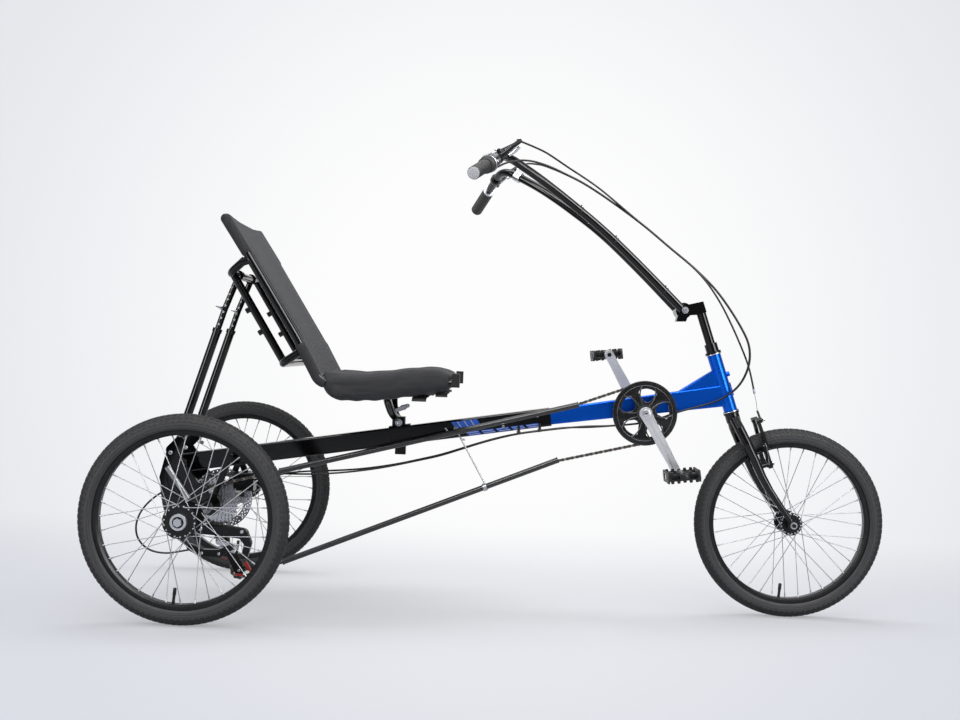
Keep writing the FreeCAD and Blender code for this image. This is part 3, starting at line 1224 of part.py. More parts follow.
def hanger(tubes):
    """Thin rod from the main tube to a ring on the lower chain tube."""
    (xa, za), (xb, zb) = LOWER_TUBE
    x = xa + (xb - xa) * RING_SHARE
    z = za + (zb - za) * RING_SHARE
    along = vec(xb - xa, 0, zb - za).normalize() * (RING_LENGTH / 2)
    ring_mid = vec(x, CHAIN_Y, z)
    ring = pipe(ring_mid - along, ring_mid + along, CHAIN_TUBE_R + RING_WALL, CHAIN_TUBE_R)
    side = -MAIN_TUBE_WIDTH / 2
    arm = rod(ring_mid + vec(0, 0, CHAIN_TUBE_R + 0.5), vec(HANGER_X, side - 3, tube_z(HANGER_X)), HANGER_ROD_R)
    foot = y_rod(HANGER_X, tube_z(HANGER_X), side - 8, side, 6)
    return join([ring, arm, foot]).cut(tubes[1])


# ---------------------------------------------------------------- cables
# points along the steered parts of each cable's housing: x from the front axle, y, z
SHIFTER_LEAD = ((-805.6, -224.3, 879.9), (-787.3, -165.8, 901.6), (-736.0, -148.0, 913.0),
                (-683.0, -134.0, 904.0), (-627.1, -108.0, 884.2), (-586.1, -94.0, 868.3))
LEFT_LEVER_LEAD = ((-748.0, 182.0, 945.0), (-732.0, 122.0, 944.0), (-726.7, 60.0, 937.0),
                   (-705.6, 20.0, 929.9), (-686.5, -20.0, 920.7), (-658.0, -60.0, 904.1),
                   (-624.0, -80.0, 887.0), (-586.1, -88.4, 868.3))
BUNDLE = ((-539.4, -76.0, 844.4), (-489.5, -57.0, 816.0), (-443.3, -52.0, 785.7), (-396.9, -47.0, 752.7),
          (-344.6, -41.0, 712.0), (-292.4, -36.0, 673.7), (-256.5, -33.0, 643.7), (-217.7, -30.0, 607.2),
          (-178.5, -28.0, 557.4), (-144.7, -27.0, 506.0), (-127.0, -27.0, 471.0), (-122.0, -27.5, 435.6),
          (-127.5, -27.5, 400.0), (-144.5, -28.0, 363.6), (-170.0, -28.5, 337.0), (-206.0, -26.5, 315.5))
BUNDLE_SPACING = 5.6          # brake cable beside the shift cable
CABLE_JOINT = 0.8             # between the steered part of a cable and the frame's part
FRONT_BRAKE_CABLE = ((-750.0, -184.0, 951.0), (-696.9, -152.0, 938.2), (-662.5, -128.0, 922.5),
                     (-624.2, -104.0, 902.9), (-586.1, -86.0, 884.2), (-539.3, -68.0, 858.0),
                     (-490.5, -63.0, 821.0), (-444.3, -59.5, 785.0), (-398.0, -54.5, 752.0),
                     (-346.0, -49.0, 711.0), (-294.0, -44.0, 672.5), (-259.0, -41.0, 641.0),
                     (-230.7, -34.0, 608.4), (-202.0, -24.0, 569.0), (-177.2, -15.0, 527.5),
                     (-152.4, -10.0, 480.1), (-126.9, -10.0, 423.9), (-113.7, -10.0, 382.6),
                     (-100.0, -7.0, 327.9), (-92.0, -3.0, 284.0))
# and along the parts on the frame: x as a share of half the wheelbase, y, z
SHIFT_CABLE_REAR = ((0.6720, -24.5, 301.2), (0.5927, -24.5, 283.0), (0.5336, -24.5, 264.0),
                    (0.4749, -24.5, 250.5), (0.4156, -24.0, 244.0), (0.3456, -24.0, 237.0),
                    (0.2770, -24.0, 232.0), (0.2111, -24.0, 223.0), (0.1293, -24.0, 211.5),
                    (0.0488, -24.0, 201.3), (-0.0202, -24.0, 188.8), (-0.0891, -24.0, 174.3),
                    (-0.1579, -25.0, 158.6), (-0.2269, -26.0, 144.0), (-0.2955, -28.0, 131.2),
                    (-0.3641, -28.0, 118.0), (-0.4334, -28.0, 106.1), (-0.5013, -28.0, 97.0),
                    (-0.5712, -28.0, 89.5), (-0.6412, -28.0, 84.5), (-0.7104, -28.0, 82.0),
                    (-0.7806, -26.0, 81.3), (-0.8641, -25.0, 79.5), (-0.9472, -25.0, 75.0),
                    (-1.0290, -25.5, 66.0), (-1.1055, -26.0, 50.0), (-1.1781, -27.0, 27.0),
                    (-1.2375, -29.0, -8.0), (-1.2718, -32.0, -52.0), (-1.2691, -36.0, -98.0),
                    (-1.2269, -41.0, -130.0), (-1.1662, -46.0, -138.0), (-1.1108, -50.0, -130.0),
                    (-1.0607, -53.0, -121.0))
BRAKE_CABLE_REAR = ((0.6720, -18.9, 301.2), (0.5927, -18.9, 283.0), (0.5336, -18.9, 264.0),
                    (0.4749, -18.9, 250.5), (0.4156, -18.4, 244.0), (0.3456, -18.4, 238.0),
                    (0.2770, -18.4, 234.0), (0.2071, -18.2, 229.5), (0.1377, -18.0, 224.0),
                    (0.0844, -18.0, 218.0), (0.0290, -18.0, 211.0), (-0.0347, -18.0, 200.5),
                    (-0.0923, -18.0, 188.0), (-0.1484, -18.0, 173.0), (-0.2216, -18.5, 152.0),
                    (-0.2962, -20.0, 135.0), (-0.3641, -20.5, 122.0), (-0.4344, -21.0, 111.5),
                    (-0.5013, -20.5, 103.0), (-0.5712, -16.0, 96.0), (-0.6412, -7.0, 91.0),
                    (-0.7058, 7.0, 86.0), (-0.7718, 27.0, 77.0), (-0.8391, 46.0, 62.0), (-0.9024, 54.0, 50.0))


def cable(name, points):
    """Cable housing along its points; prints its length, its smallest bend and the volume's share."""
    shape = bent_tube(points, CABLE_R)
    path = rounded_path(points)
    bends = [edge.Curve.Radius for edge in path.Edges if hasattr(edge.Curve, "Radius")]
    share = shape.Volume / (math.pi * CABLE_R ** 2 * path.Length)
    print("  %-14s length %7.1f  bends %3d  smallest radius %6.1f  volume/section %.5f"
          % (name, path.Length, len(bends), min(bends), share))
    return shape


def steered(table, y=0.0):
    """Points of a steered cable, moved sideways by y."""
    return [from_front(point) + vec(0, y, 0) for point in table]


def on_frame(table):
    return [vec(share * WHEELBASE / 2, y, z) for share, y, z in table]


def past_joint(points):
    """The frame's part of a cable starts just past the steered part's end."""
    end = points[-1]
    return [end + (end - points[-2]).normalize() * CABLE_JOINT]


def build_cables():
    shift = steered(SHIFTER_LEAD + BUNDLE)
    brake = steered(LEFT_LEVER_LEAD) + steered(BUNDLE, BUNDLE_SPACING)
    save("front_brake_cable", cable("front brake", steered(FRONT_BRAKE_CABLE)).cut(brake_lever(-1)))
    save("steering_loop_cables", cable("shift, front", shift).cut(twist_shifter()),
         cable("brake, front", brake).cut(brake_lever(1)))
    save("frame_cables", cable("shift, rear", past_joint(shift) + on_frame(SHIFT_CABLE_REAR)),
         cable("brake, rear", past_joint(brake) + on_frame(BRAKE_CABLE_REAR)).cut(brake_caliper()))


def build_all():
    build_wheel("front", FRONT_AXLE_X, 0, 0)
    build_wheel("rear_right", REAR_AXLE_X, -TRACK / 2, -1)
    build_wheel("rear_left", REAR_AXLE_X, TRACK / 2, 1)
    build_frame()
    build_rear_axle()
    build_seat()
    build_steering()
    build_cranks()
    build_chain_line()
    build_cables()


build_all()
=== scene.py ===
import math

import bmesh
import bpy
import numpy as np
from mathutils import Matrix, Vector


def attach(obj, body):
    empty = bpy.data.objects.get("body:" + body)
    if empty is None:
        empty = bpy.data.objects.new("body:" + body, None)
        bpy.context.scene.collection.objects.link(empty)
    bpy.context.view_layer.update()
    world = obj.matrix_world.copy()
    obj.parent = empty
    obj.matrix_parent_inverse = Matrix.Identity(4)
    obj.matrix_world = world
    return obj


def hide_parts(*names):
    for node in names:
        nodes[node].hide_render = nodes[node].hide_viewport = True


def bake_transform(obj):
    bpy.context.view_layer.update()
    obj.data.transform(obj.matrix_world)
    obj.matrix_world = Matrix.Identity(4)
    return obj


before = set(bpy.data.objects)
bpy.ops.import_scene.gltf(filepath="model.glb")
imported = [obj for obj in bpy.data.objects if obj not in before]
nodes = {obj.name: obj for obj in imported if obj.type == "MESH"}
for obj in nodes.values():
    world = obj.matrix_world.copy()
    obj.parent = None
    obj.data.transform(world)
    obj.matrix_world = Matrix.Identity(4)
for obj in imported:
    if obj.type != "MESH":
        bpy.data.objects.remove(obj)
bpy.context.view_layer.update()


# ---------------------------------------------------------------- studio
# A pale floor that runs up into a pale wall without a corner, lit softly from above and from
# the camera's side, with the camera square to the trike's right side as in a catalogue view.
def colour(text):
    """Display colour, as six hex digits, to the linear values the renderer works in."""
    levels = [int(text[i:i + 2], 16) / 255 for i in (0, 2, 4)]
    return (*[v / 12.92 if v <= 0.04045 else ((v + 0.055) / 1.055) ** 2.4 for v in levels], 1.0)


def add(tree, kind, inputs=None, **settings):
    """Adds a node; each input is a value, or an output socket to link from."""
    node = tree.nodes.new(kind)
    for key, value in settings.items():
        setattr(node, key, value)
    for key, value in (inputs or {}).items():
        if isinstance(value, bpy.types.NodeSocket):
            tree.links.new(value, node.inputs[key])
        else:
            node.inputs[key].default_value = value
    return node


def gathered(*shapes):
    """Several shapes' points and faces as one."""
    points, faces = [], []
    for more, rings in shapes:
        base = len(points)
        points.extend(more)
        faces.extend([tuple(base + i for i in face) for face in rings])
    return points, faces


def skinned(rows, ring=True, loop=False, ends=False):
    """Points and faces over equal rows of points; a ring closes each row, a loop joins last to first."""
    wide = len(rows[0])
    faces = []
    for row in range(len(rows) if loop else len(rows) - 1):
        here, there = row * wide, (row + 1) % len(rows) * wide
        for index in range(wide if ring else wide - 1):
            after = (index + 1) % wide
            faces.append((here + index, here + after, there + after, there + index))
    points = [point for row in rows for point in row]
    if ends:
        faces += [tuple(range(wide - 1, -1, -1)), tuple(range(len(points) - wide, len(points)))]
    return points, faces


def smoothed(data, made, sharp):
    """Joins a mesh's equal points, turns its faces outwards and smooths it except at sharp corners."""
    work = bmesh.new()
    work.from_mesh(data)
    bmesh.ops.remove_doubles(work, verts=work.verts, dist=1e-6)
    bmesh.ops.recalc_face_normals(work, faces=work.faces)
    work.to_mesh(data)
    work.free()
    data.shade_smooth()
    data.set_sharp_from_angle(angle=math.radians(sharp))
    data.materials.clear()
    data.materials.append(made)


def entered(name, data, body, stands_for=None):
    """Puts a mesh in the scene as a piece that rides on a body and may stand for a CAD node."""
    piece = bpy.data.objects.new(name.replace(" ", "_"), data)
    bpy.context.scene.collection.objects.link(piece)
    if body:
        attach(piece, body)
    if stands_for:
        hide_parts(stands_for)
    return piece


def shaped(name, shapes, made, body=None, stands_for=None, sharp=35):
    """Makes one piece of some shapes' points and faces."""
    points, faces = gathered(*shapes)
    data = bpy.data.meshes.new(name)
    data.from_pydata([tuple(p) for p in points], [], faces)
    data.validate()
    smoothed(data, made, sharp)
    return entered(name, data, body, stands_for)


def studio_finish():
    """Paper that glows more towards the wall, with painted shade that darkens it a little towards the
    view's corners.
    """
    made = bpy.data.materials.new("studio paper")
    made.use_nodes = True
    tree = made.node_tree
    tree.nodes.clear()
    place = add(tree, "ShaderNodeTexCoord")
    split = add(tree, "ShaderNodeSeparateXYZ", {0: place.outputs["Object"]}).outputs
    far = add(tree, "ShaderNodeMapRange",
              {"Value": split["Y"], "From Min": 0.1, "From Max": 1.5, "To Min": 0.42, "To Max": 1.0},
              interpolation_type="SMOOTHSTEP").outputs[0]
    # painted shade: a factor from the paper's place as seen from the camera darkens glow and paper towards
    # the view's corners
    away = add(tree, "ShaderNodeMath", {0: split["Y"], 1: 3.1}, operation="ADD").outputs[0]
    slant = add(tree, "ShaderNodeMath", {0: split["X"], 1: away}, operation="DIVIDE").outputs[0]
    height = add(tree, "ShaderNodeMath", {0: split["Z"], 1: 0.80}, operation="SUBTRACT").outputs[0]
    rise = add(tree, "ShaderNodeMath", {0: height, 1: away}, operation="DIVIDE").outputs[0]
    spot = add(tree, "ShaderNodeCombineXYZ", {0: slant, 1: rise})
    reach = add(tree, "ShaderNodeVectorMath", {0: spot.outputs[0]}, operation="LENGTH")
    corner = add(tree, "ShaderNodeMapRange",
                 {"Value": reach.outputs["Value"], "From Min": 0.10, "From Max": 0.56},
                 interpolation_type="SMOOTHSTEP").outputs[0]
    glow_with_painted_corner_shade = add(tree, "ShaderNodeMix", {"Factor": corner, 6: colour("fdfdfd"), 7: colour("e4e6eb")},
               data_type="RGBA").outputs[2]
    paper_with_painted_corner_shade = add(tree, "ShaderNodeMix", {"Factor": corner, 6: colour("dfe0e4"), 7: colour("cfd1d7")},
                     data_type="RGBA").outputs[2]
    ray = add(tree, "ShaderNodeLightPath").outputs
    either = add(tree, "ShaderNodeMath", {0: ray["Is Camera Ray"], 1: ray["Is Glossy Ray"]},
                 operation="MAXIMUM").outputs[0]
    seen = add(tree, "ShaderNodeMath", {0: either, 1: ray["Is Transmission Ray"]},
               operation="MAXIMUM").outputs[0]
    share = add(tree, "ShaderNodeMath", {0: far, 1: seen}, operation="MULTIPLY").outputs[0]
    paper = add(tree, "ShaderNodeBsdfDiffuse", {"Color": paper_with_painted_corner_shade})
    glow = add(tree, "ShaderNodeEmission", {"Color": glow_with_painted_corner_shade, "Strength": 1.0})
    both = add(tree, "ShaderNodeMixShader", {0: share, 1: paper.outputs[0], 2: glow.outputs[0]})
    add(tree, "ShaderNodeOutputMaterial", {"Surface": both.outputs[0]})
    return made


def studio():
    near, bend, curve, top, half = -6.0, 2.2, 1.6, 6.0, 7.0
    rows = [(near, 0.0), (bend, 0.0)]
    for step in range(1, 13):
        turn = math.pi / 2 * step / 12
        rows.append((bend + curve * math.sin(turn), curve - curve * math.cos(turn)))
    rows.append((bend + curve, top))
    sweep = skinned([[(x, y, z - 0.0005) for x in (-half, half)] for y, z in rows], ring=False)
    backdrop = shaped("studio backdrop", [sweep], studio_finish(), sharp=80)
    # name, place, size, watts, and whether it shows only in reflections
    lamps = (("top softbox", (-0.1, 0.5, 3.2), (3.4, 0.9), 46, False),
             ("front softbox", (-0.8, -3.2, 3.2), (2.8, 0.6), 28, False),
             ("side softbox", (3.4, -1.9, 1.7), (0.7, 1.8), 15, False),
             ("rear softbox", (-3.2, -1.4, 2.0), (0.7, 1.6), 11, False),
             ("upper strip", (0.6, -2.0, 2.7), (4.4, 1.3), 155, True),
             ("right strip", (2.7, -2.6, 1.7), (1.1, 2.8), 100, True),
             ("left strip", (-2.8, -2.5, 1.3), (1.1, 2.0), 60, True))
    for name, place, size, power, shine_only in lamps:
        data = bpy.data.lights.new(name, "AREA")
        data.shape = "RECTANGLE"
        data.size, data.size_y = size
        data.energy = power
        light = bpy.data.objects.new(name, data)
        light.location = place
        aim = Vector((-0.05, 0.0, 0.45)) - light.location
        light.rotation_euler = aim.to_track_quat("-Z", "Y").to_euler()
        light.visible_diffuse = not shine_only
        bpy.context.scene.collection.objects.link(light)
    world = bpy.data.worlds.new("studio air")
    world.use_nodes = True
    sky = world.node_tree
    run = add(sky, "ShaderNodeTexCoord").outputs["Generated"]
    height = add(sky, "ShaderNodeSeparateXYZ", {0: run}).outputs["Z"]
    level = add(sky, "ShaderNodeMapRange",
                {"Value": height, "From Min": 0.15, "From Max": 0.95, "To Min": 0.16, "To Max": 0.95},
                interpolation_type="SMOOTHSTEP").outputs[0]
    sky.nodes["Background"].inputs["Color"].default_value = colour("f4f6fb")
    sky.links.new(level, sky.nodes["Background"].inputs["Strength"])
    bpy.context.scene.world = world
    bpy.context.scene.view_settings.view_transform = "Standard"
    data = bpy.data.cameras.new("side view")
    data.sensor_width = 36.0
    data.lens = 43.9
    data.shift_x = -0.0086
    data.shift_y = -0.0072
    camera = bpy.data.objects.new("side view", data)
    camera.location = (-0.055, -3.112, 0.6695)
    camera.rotation_euler = (math.radians(90), math.radians(-2.19), 0)
    bpy.context.scene.collection.objects.link(camera)
    bpy.context.scene.camera = camera
studio()


# ---------------------------------------------------------------- main tube, boom and head
# Gloss black steel tube under the rider and a metallic blue boom in front of it, welded to a
# blue head tube with a filled corner; the crank bearing's shell is welded into the boom.
def finish(name, base, rough=0.4, metal=0.0, coat=0.0, tone=0.12, grain=3.0, bump=0.0, bump_grain=0.5,
           second=None, streak=None, weave=None, shine=0.5):
    """Painted, plated, moulded or woven surface; grain, thread spacing and bump are in millimetres."""
    made = bpy.data.materials.new(name)
    made.use_nodes = True
    tree = made.node_tree
    shader = tree.nodes["Principled BSDF"].inputs
    place = add(tree, "ShaderNodeTexCoord").outputs["Object"]
    if streak:
        place = add(tree, "ShaderNodeMapping", {"Vector": place, "Scale": streak}).outputs[0]
    noise = add(tree, "ShaderNodeTexNoise", {"Vector": place, "Scale": 1000 / grain,
                                             "Detail": 3.0}).outputs[0]
    lighter = tuple(min(1.0, v * (1 + 2 * tone) + 0.004 * tone) for v in colour(base)[:3]) + (1.0,)
    toned = add(tree, "ShaderNodeMix",
                {"Factor": noise, 6: colour(base), 7: colour(second) if second else lighter},
                data_type="RGBA").outputs[2]
    tree.links.new(toned, shader["Base Color"])
    uneven = add(tree, "ShaderNodeMapRange", {"Value": noise, "From Min": 0.3, "From Max": 0.7,
                                              "To Min": rough * 0.88, "To Max": rough * 1.12})
    tree.links.new(uneven.outputs[0], shader["Roughness"])
    shader["Metallic"].default_value = metal
    shader["Specular IOR Level"].default_value = shine
    shader["Coat Weight"].default_value = coat
    shader["Coat Roughness"].default_value = 0.06
    if weave:
        threads = []
        for axis in ("X", "Y", "Z"):
            pitch = 1000 / weave / 20 * 3.1416
            wave = add(tree, "ShaderNodeTexWave", {"Vector": place, "Scale": pitch, "Distortion": 0.4},
                       wave_type="BANDS", bands_direction=axis)
            threads.append(wave.outputs["Fac"])
        pair = add(tree, "ShaderNodeMath", {0: threads[0], 1: threads[1]}, operation="ADD").outputs[0]
        cloth = add(tree, "ShaderNodeMath", {0: pair, 1: threads[2]}, operation="ADD").outputs[0]
        shade = add(tree, "ShaderNodeMapRange", {"Value": cloth, "From Min": 0.0, "From Max": 3.0,
                                                 "To Min": 0.72, "To Max": 1.22}).outputs[0]
        woven = add(tree, "ShaderNodeMix", {"Factor": 1.0, 6: toned, 7: shade}, data_type="RGBA",
                    blend_type="MULTIPLY")
        tree.links.new(woven.outputs[2], shader["Base Color"])
        lift = add(tree, "ShaderNodeBump", {"Height": cloth, "Strength": 0.6, "Distance": 0.0003})
        tree.links.new(lift.outputs[0], shader["Normal"])
        shader["Sheen Weight"].default_value = 0.12
        shader["Sheen Roughness"].default_value = 0.4
    if bump:
        fine = add(tree, "ShaderNodeTexNoise", {"Vector": place, "Scale": 1000 / bump_grain, "Detail": 2.0})
        lift = add(tree, "ShaderNodeBump", {"Height": fine.outputs[0], "Strength": 1.0,
                                            "Distance": bump / 1000})
        tree.links.new(lift.outputs[0], shader["Normal"])
    return made


def dress(made, slot_name, *names):
    """Gives CAD nodes their finish."""
    for name in names:
        nodes[name].data.materials.clear()
        nodes[name].data.materials.append(made)


gloss_black = finish("gloss black enamel", "040405", 0.12, tone=0.3, grain=40, shine=0.38)
satin_black = finish("satin black enamel", "0c0c0d", 0.26, tone=0.3, grain=25, shine=0.3)
boom_blue = finish("metallic blue lacquer", "004cc4", 0.24, metal=0.55, second="006ae6", grain=0.7,
                   shine=0.2)
bright_steel = finish("bright steel", "b9bbbf", 0.24, metal=1.0, tone=0.1, grain=6)
dull_steel = finish("dull steel", "8d8f92", 0.38, metal=1.0, tone=0.2, grain=4)
silver_alloy = finish("silver alloy", "c4c6ca", 0.3, metal=1.0, tone=0.08, grain=5, streak=(1, 1, 6))
dress(gloss_black, "frame_black", "main_tube")
dress(boom_blue, "frame_blue", "front_boom", "head_tube", "head_gusset", "bottom_bracket_shell")
dress(satin_black, "frame_black", "headset_cups", "seat_clamp")


def turned(outline, centre, axis, sides=32):
    """A turned shape; the outline holds (distance along the axis, radius) pairs in millimetres."""
    axis = Vector(axis).normalized()
    across = axis.orthogonal().normalized()
    other = axis.cross(across)
    points, faces, rings = [], [], []
    for along, radius in outline:
        ring = []
        for step in range(sides if radius > 0.001 else 1):
            turn = 2 * math.pi * step / sides
            offset = across * (radius * math.cos(turn)) + other * (radius * math.sin(turn))
            ring.append(len(points))
            points.append(Vector(centre) + (axis * along + offset) / 1000)
        rings.append(ring)
    for a, b in zip(rings, rings[1:]):
        for step in range(sides):
            after = (step + 1) % sides
            corners = []
            for ring, index in ((a, step), (a, after), (b, after), (b, step)):
                item = ring[index % len(ring)]
                if item not in corners:
                    corners.append(item)
            if len(corners) > 2:
                faces.append(corners)
    return points, faces


def rod(low, high, radius, edge=0, drop=0):
    """Outline of a solid rod, its far edge eased by edge along the axis and drop across it."""
    eased = [(high - edge, radius), (high, radius - drop)] if edge else [(high, radius)]
    return [(low, 0), (low, radius), *eased, (high, 0)]


def cap_screw(centre, axis, radius, height=None):
    """Round-headed screw with a recess for the key, in millimetres; the axis points out of the head."""
    height = height or radius * 0.9
    edge = radius * 0.14
    return turned([(0, 0), (0, radius), (height - edge, radius), (height, radius - edge),
                   (height, radius * 0.55), (height * 0.45, radius * 0.5), (height * 0.45, 0)], centre,
                  axis, 24)


def weld_bead(centre, axis, radius, width=2.6):
    """Rippled ring of weld around a round tube's joint, in millimetres."""
    axis = Vector(axis).normalized()
    across = axis.orthogonal().normalized()
    other = axis.cross(across)
    steps = max(48, int(2 * math.pi * radius / 1.2))
    rows = []
    for step in range(steps):
        turn = 2 * math.pi * step / steps
        out = across * math.cos(turn) + other * math.sin(turn)
        swell = width * (1 + 0.16 * math.sin(step * 2 * math.pi / 3))
        row = []
        for side in range(7):
            lean = math.pi * side / 6
            offset = out * (radius - width * 0.2 + swell * math.sin(lean)) + axis * (swell * math.cos(lean))
            row.append(Vector(centre) + offset / 1000)
        rows.append(row)
    return skinned(rows, ring=False, loop=True)


lean = math.radians(19.0)
head_up = Vector((-math.sin(lean), 0, math.cos(lean)))
head_forward = Vector((math.cos(lean), 0, math.sin(lean)))
head_foot = Vector((0.5947, 0, 0.5409))


def sideways(y):
    """Step across the trike, to the rider's left."""
    return Vector((0, y, 0))


def on_head(forward, y, up):
    """Point in metres from the head tube's lower end, from distances in millimetres."""
    return head_foot + head_forward * (forward / 1000) + sideways(y / 1000) + head_up * (up / 1000)


CRANK_AT = Vector((0.36, 0, 0.528))
shell_welds, bearing_cups = [], []
for side in (-1, 1):
    shell_welds.append(weld_bead(CRANK_AT + sideways(side * 0.0178), (0, 1, 0), 20.3))
    bearing_cups.append(turned([(0, 12), (0, 19.5), (3, 19.5), (3.5, 18.5), (3.5, 12)],
                               CRANK_AT + sideways(side * 0.034), (0, side, 0), 40))
head_rings = []
for up in (-2.4, 156):
    head_rings.append(turned([(0, 18.2), (0, 21.3), (1.2, 21.6), (2.4, 21.3), (2.4, 18.2)],
                             on_head(0, 0, up), head_up, 48))
shaped("crank shell welds", shell_welds, boom_blue, "frame")
shaped("crank bearing cups", bearing_cups, dull_steel, "frame")
shaped("headset rings", head_rings, bright_steel, "frame")


# ---------------------------------------------------------------- copies of small parts
# Spoke nipples, tread blocks, chain links, ribs and screws repeat, so each is drawn once and
# set at a list of places by a node tree.
def copies_tree():
    """Node tree that puts Part at each point, turned by the point's "turn", and makes it real."""
    tree = bpy.data.node_groups.new("copies of a part", "GeometryNodeTree")
    sockets = {}
    for name, kind in (("Places", "Geometry"), ("Part", "Object"), ("Finish", "Material")):
        made = tree.interface.new_socket(name, in_out="INPUT", socket_type="NodeSocket" + kind)
        sockets[name] = made.identifier
    tree.interface.new_socket("Pieces", in_out="OUTPUT", socket_type="NodeSocketGeometry")
    entry = add(tree, "NodeGroupInput").outputs
    part = add(tree, "GeometryNodeObjectInfo", {"Object": entry["Part"]})
    turn = add(tree, "GeometryNodeInputNamedAttribute", {"Name": "turn"}, data_type="FLOAT_VECTOR")
    placed = add(tree, "GeometryNodeInstanceOnPoints",
                 {"Points": entry["Places"], "Instance": part.outputs["Geometry"],
                  "Rotation": turn.outputs["Attribute"]})
    real = add(tree, "GeometryNodeRealizeInstances", {"Geometry": placed.outputs[0]})
    dressed = add(tree, "GeometryNodeSetMaterial", {"Geometry": real.outputs[0],
            "Material": entry["Finish"]})
    exit_node = add(tree, "NodeGroupOutput")
    tree.links.new(dressed.outputs[0], exit_node.inputs[0])
    return tree, sockets


copies_group, copies_inputs = copies_tree()


def evaluated(holder):
    """New mesh of an object as its modifiers or its curve's settings make it."""
    bpy.context.view_layer.update()
    return bpy.data.meshes.new_from_object(holder.evaluated_get(bpy.context.evaluated_depsgraph_get()))


def copied(name, shape, places, made, body):
    """One piece made of a shape at each place; a place is a 4 by 4 matrix in the trike's frame."""
    part = shaped(name + " part", [shape], made)
    cloud = bpy.data.meshes.new(name + " places")
    cloud.from_pydata([m.translation for m in places], [], [])
    turns = cloud.attributes.new("turn", "FLOAT_VECTOR", "POINT")
    turns.data.foreach_set("vector", [v for m in places for v in m.to_euler("XYZ")])
    holder = bpy.data.objects.new(name + " places", cloud)
    bpy.context.scene.collection.objects.link(holder)
    step = holder.modifiers.new("copies", "NODES")
    step.node_group = copies_group
    step[copies_inputs["Part"]] = part
    step[copies_inputs["Finish"]] = made
    data = evaluated(holder)
    data.name = name
    bpy.data.objects.remove(holder)
    bpy.data.objects.remove(part)
    return entered(name, data, body)


def facing(point, z_axis, x_hint=(1, 0, 0)):
    """Matrix at a point with its z axis along z_axis and its x axis near x_hint."""
    z = Vector(z_axis).normalized()
    y = z.cross(Vector(x_hint))
    if y.length < 1e-6:
        y = z.orthogonal()
    y.normalize()
    x = y.cross(z)
    turn = Matrix((x, y, z)).transposed().to_4x4()
    return Matrix.Translation(Vector(point)) @ turn


# ---------------------------------------------------------------- wheels
# Three 20 inch wheels: dark grey rubber tyres with a centre rib, shoulder blocks and two moulded
# lines on each side wall; black rims, bright spokes with nipples, and black hubs with silver caps.
WHEEL_RADIUS = 0.25
AXLE_HEIGHT = WHEEL_RADIUS
TYRE_MID = 0.2272  # radius of the middle of the tyre's round section
WHEELS = (("front", "front_wheel", 0.758, 0), ("rear_right", "rear_wheel_right", -0.758, -0.35),
          ("rear_left", "rear_wheel_left", -0.758, 0.35))
tyre_rubber = finish("tyre rubber", "373738", 0.62, tone=0.25, grain=14, bump=0.06, bump_grain=0.9,
                     shine=0.3)
tread_rubber = finish("tread rubber", "232324", 0.66, tone=0.25, grain=11, bump=0.06, bump_grain=0.9,
                      shine=0.3)
groove_painted_shade = finish("painted shade in the grooves", "161617", 0.8, tone=0.3, grain=9)
rim_black = finish("black anodised rim", "1c1c1d", 0.3, metal=0.5, tone=0.3, grain=10, shine=0.4)
spoke_bright = finish("bright spokes", "939497", 0.42, metal=0.8, tone=0.1, grain=8)


def wheel_point(x, y, radius, turn):
    """Point at a radius from an axle at x; the turn runs forwards from the top."""
    return Vector((x + radius * math.sin(turn), y, AXLE_HEIGHT + radius * math.cos(turn)))


def tyre_outline():
    """Half section from the rim's edge to the crown: (distance from the wheel's plane, radius)."""
    rows = []
    for step in range(61):
        share = step / 60
        turn = math.radians(-36.6 + share * 116.6)
        across = 0.0002 + 0.0231 * math.cos(turn)
        radius = TYRE_MID + (0.0216 if turn > 0 else 0.0233) * math.sin(turn)
        lift = 0.0
        for line, high in ((0.13, 0.0009), (0.19, 0.0007), (0.28, 0.0004), (0.40, 0.0005), (0.46, 0.0009)):
            lift += high * math.exp(-((share - line) / 0.011) ** 2)
        rows.append((across + lift, radius + lift * math.sin(turn)))
    return rows


def tyre_body(x, y):
    half = [(0.0098, 0.2076), (0.0113, 0.2076), (0.0114, 0.2132), (0.0185, 0.2131)] + tyre_outline()
    section = half + [(-a, r) for a, r in reversed(half)]
    sides = 168
    rows = []
    for step in range(sides):
        turn = 2 * math.pi * step / sides
        rows.append([wheel_point(x, y + across, radius, turn) for across, radius in section])
    return skinned(rows, loop=True)


def tread_block(rows):
    """One pitch of the tread around the crown: each block is (start, end, skew, low turn, high turn)."""
    points, faces = [], []
    for start, end, skew, low, high in rows:
        base = len(points)
        for wide, deep, inset in ((0.0224, 0.0203, 0.0), (0.0242, 0.0228, 0.0005)):
            for step in range(4):
                across = math.radians(low + (high - low) * step / 3)
                height = TYRE_MID - WHEEL_RADIUS + deep * math.cos(across)
                for along in (start + inset, end - inset):
                    points.append((along + skew * step / 3, wide * math.sin(across), height))
        for row in range(3):
            a = base + row * 2
            faces.append((a + 8, a + 9, a + 11, a + 10))
            faces.append((a, a + 2, a + 10, a + 8))
            faces.append((a + 1, a + 9, a + 11, a + 3))
        for a, b in ((base, base + 1), (base + 7, base + 6)):
            faces.append((a, b, b + 8, a + 8))
    return points, faces


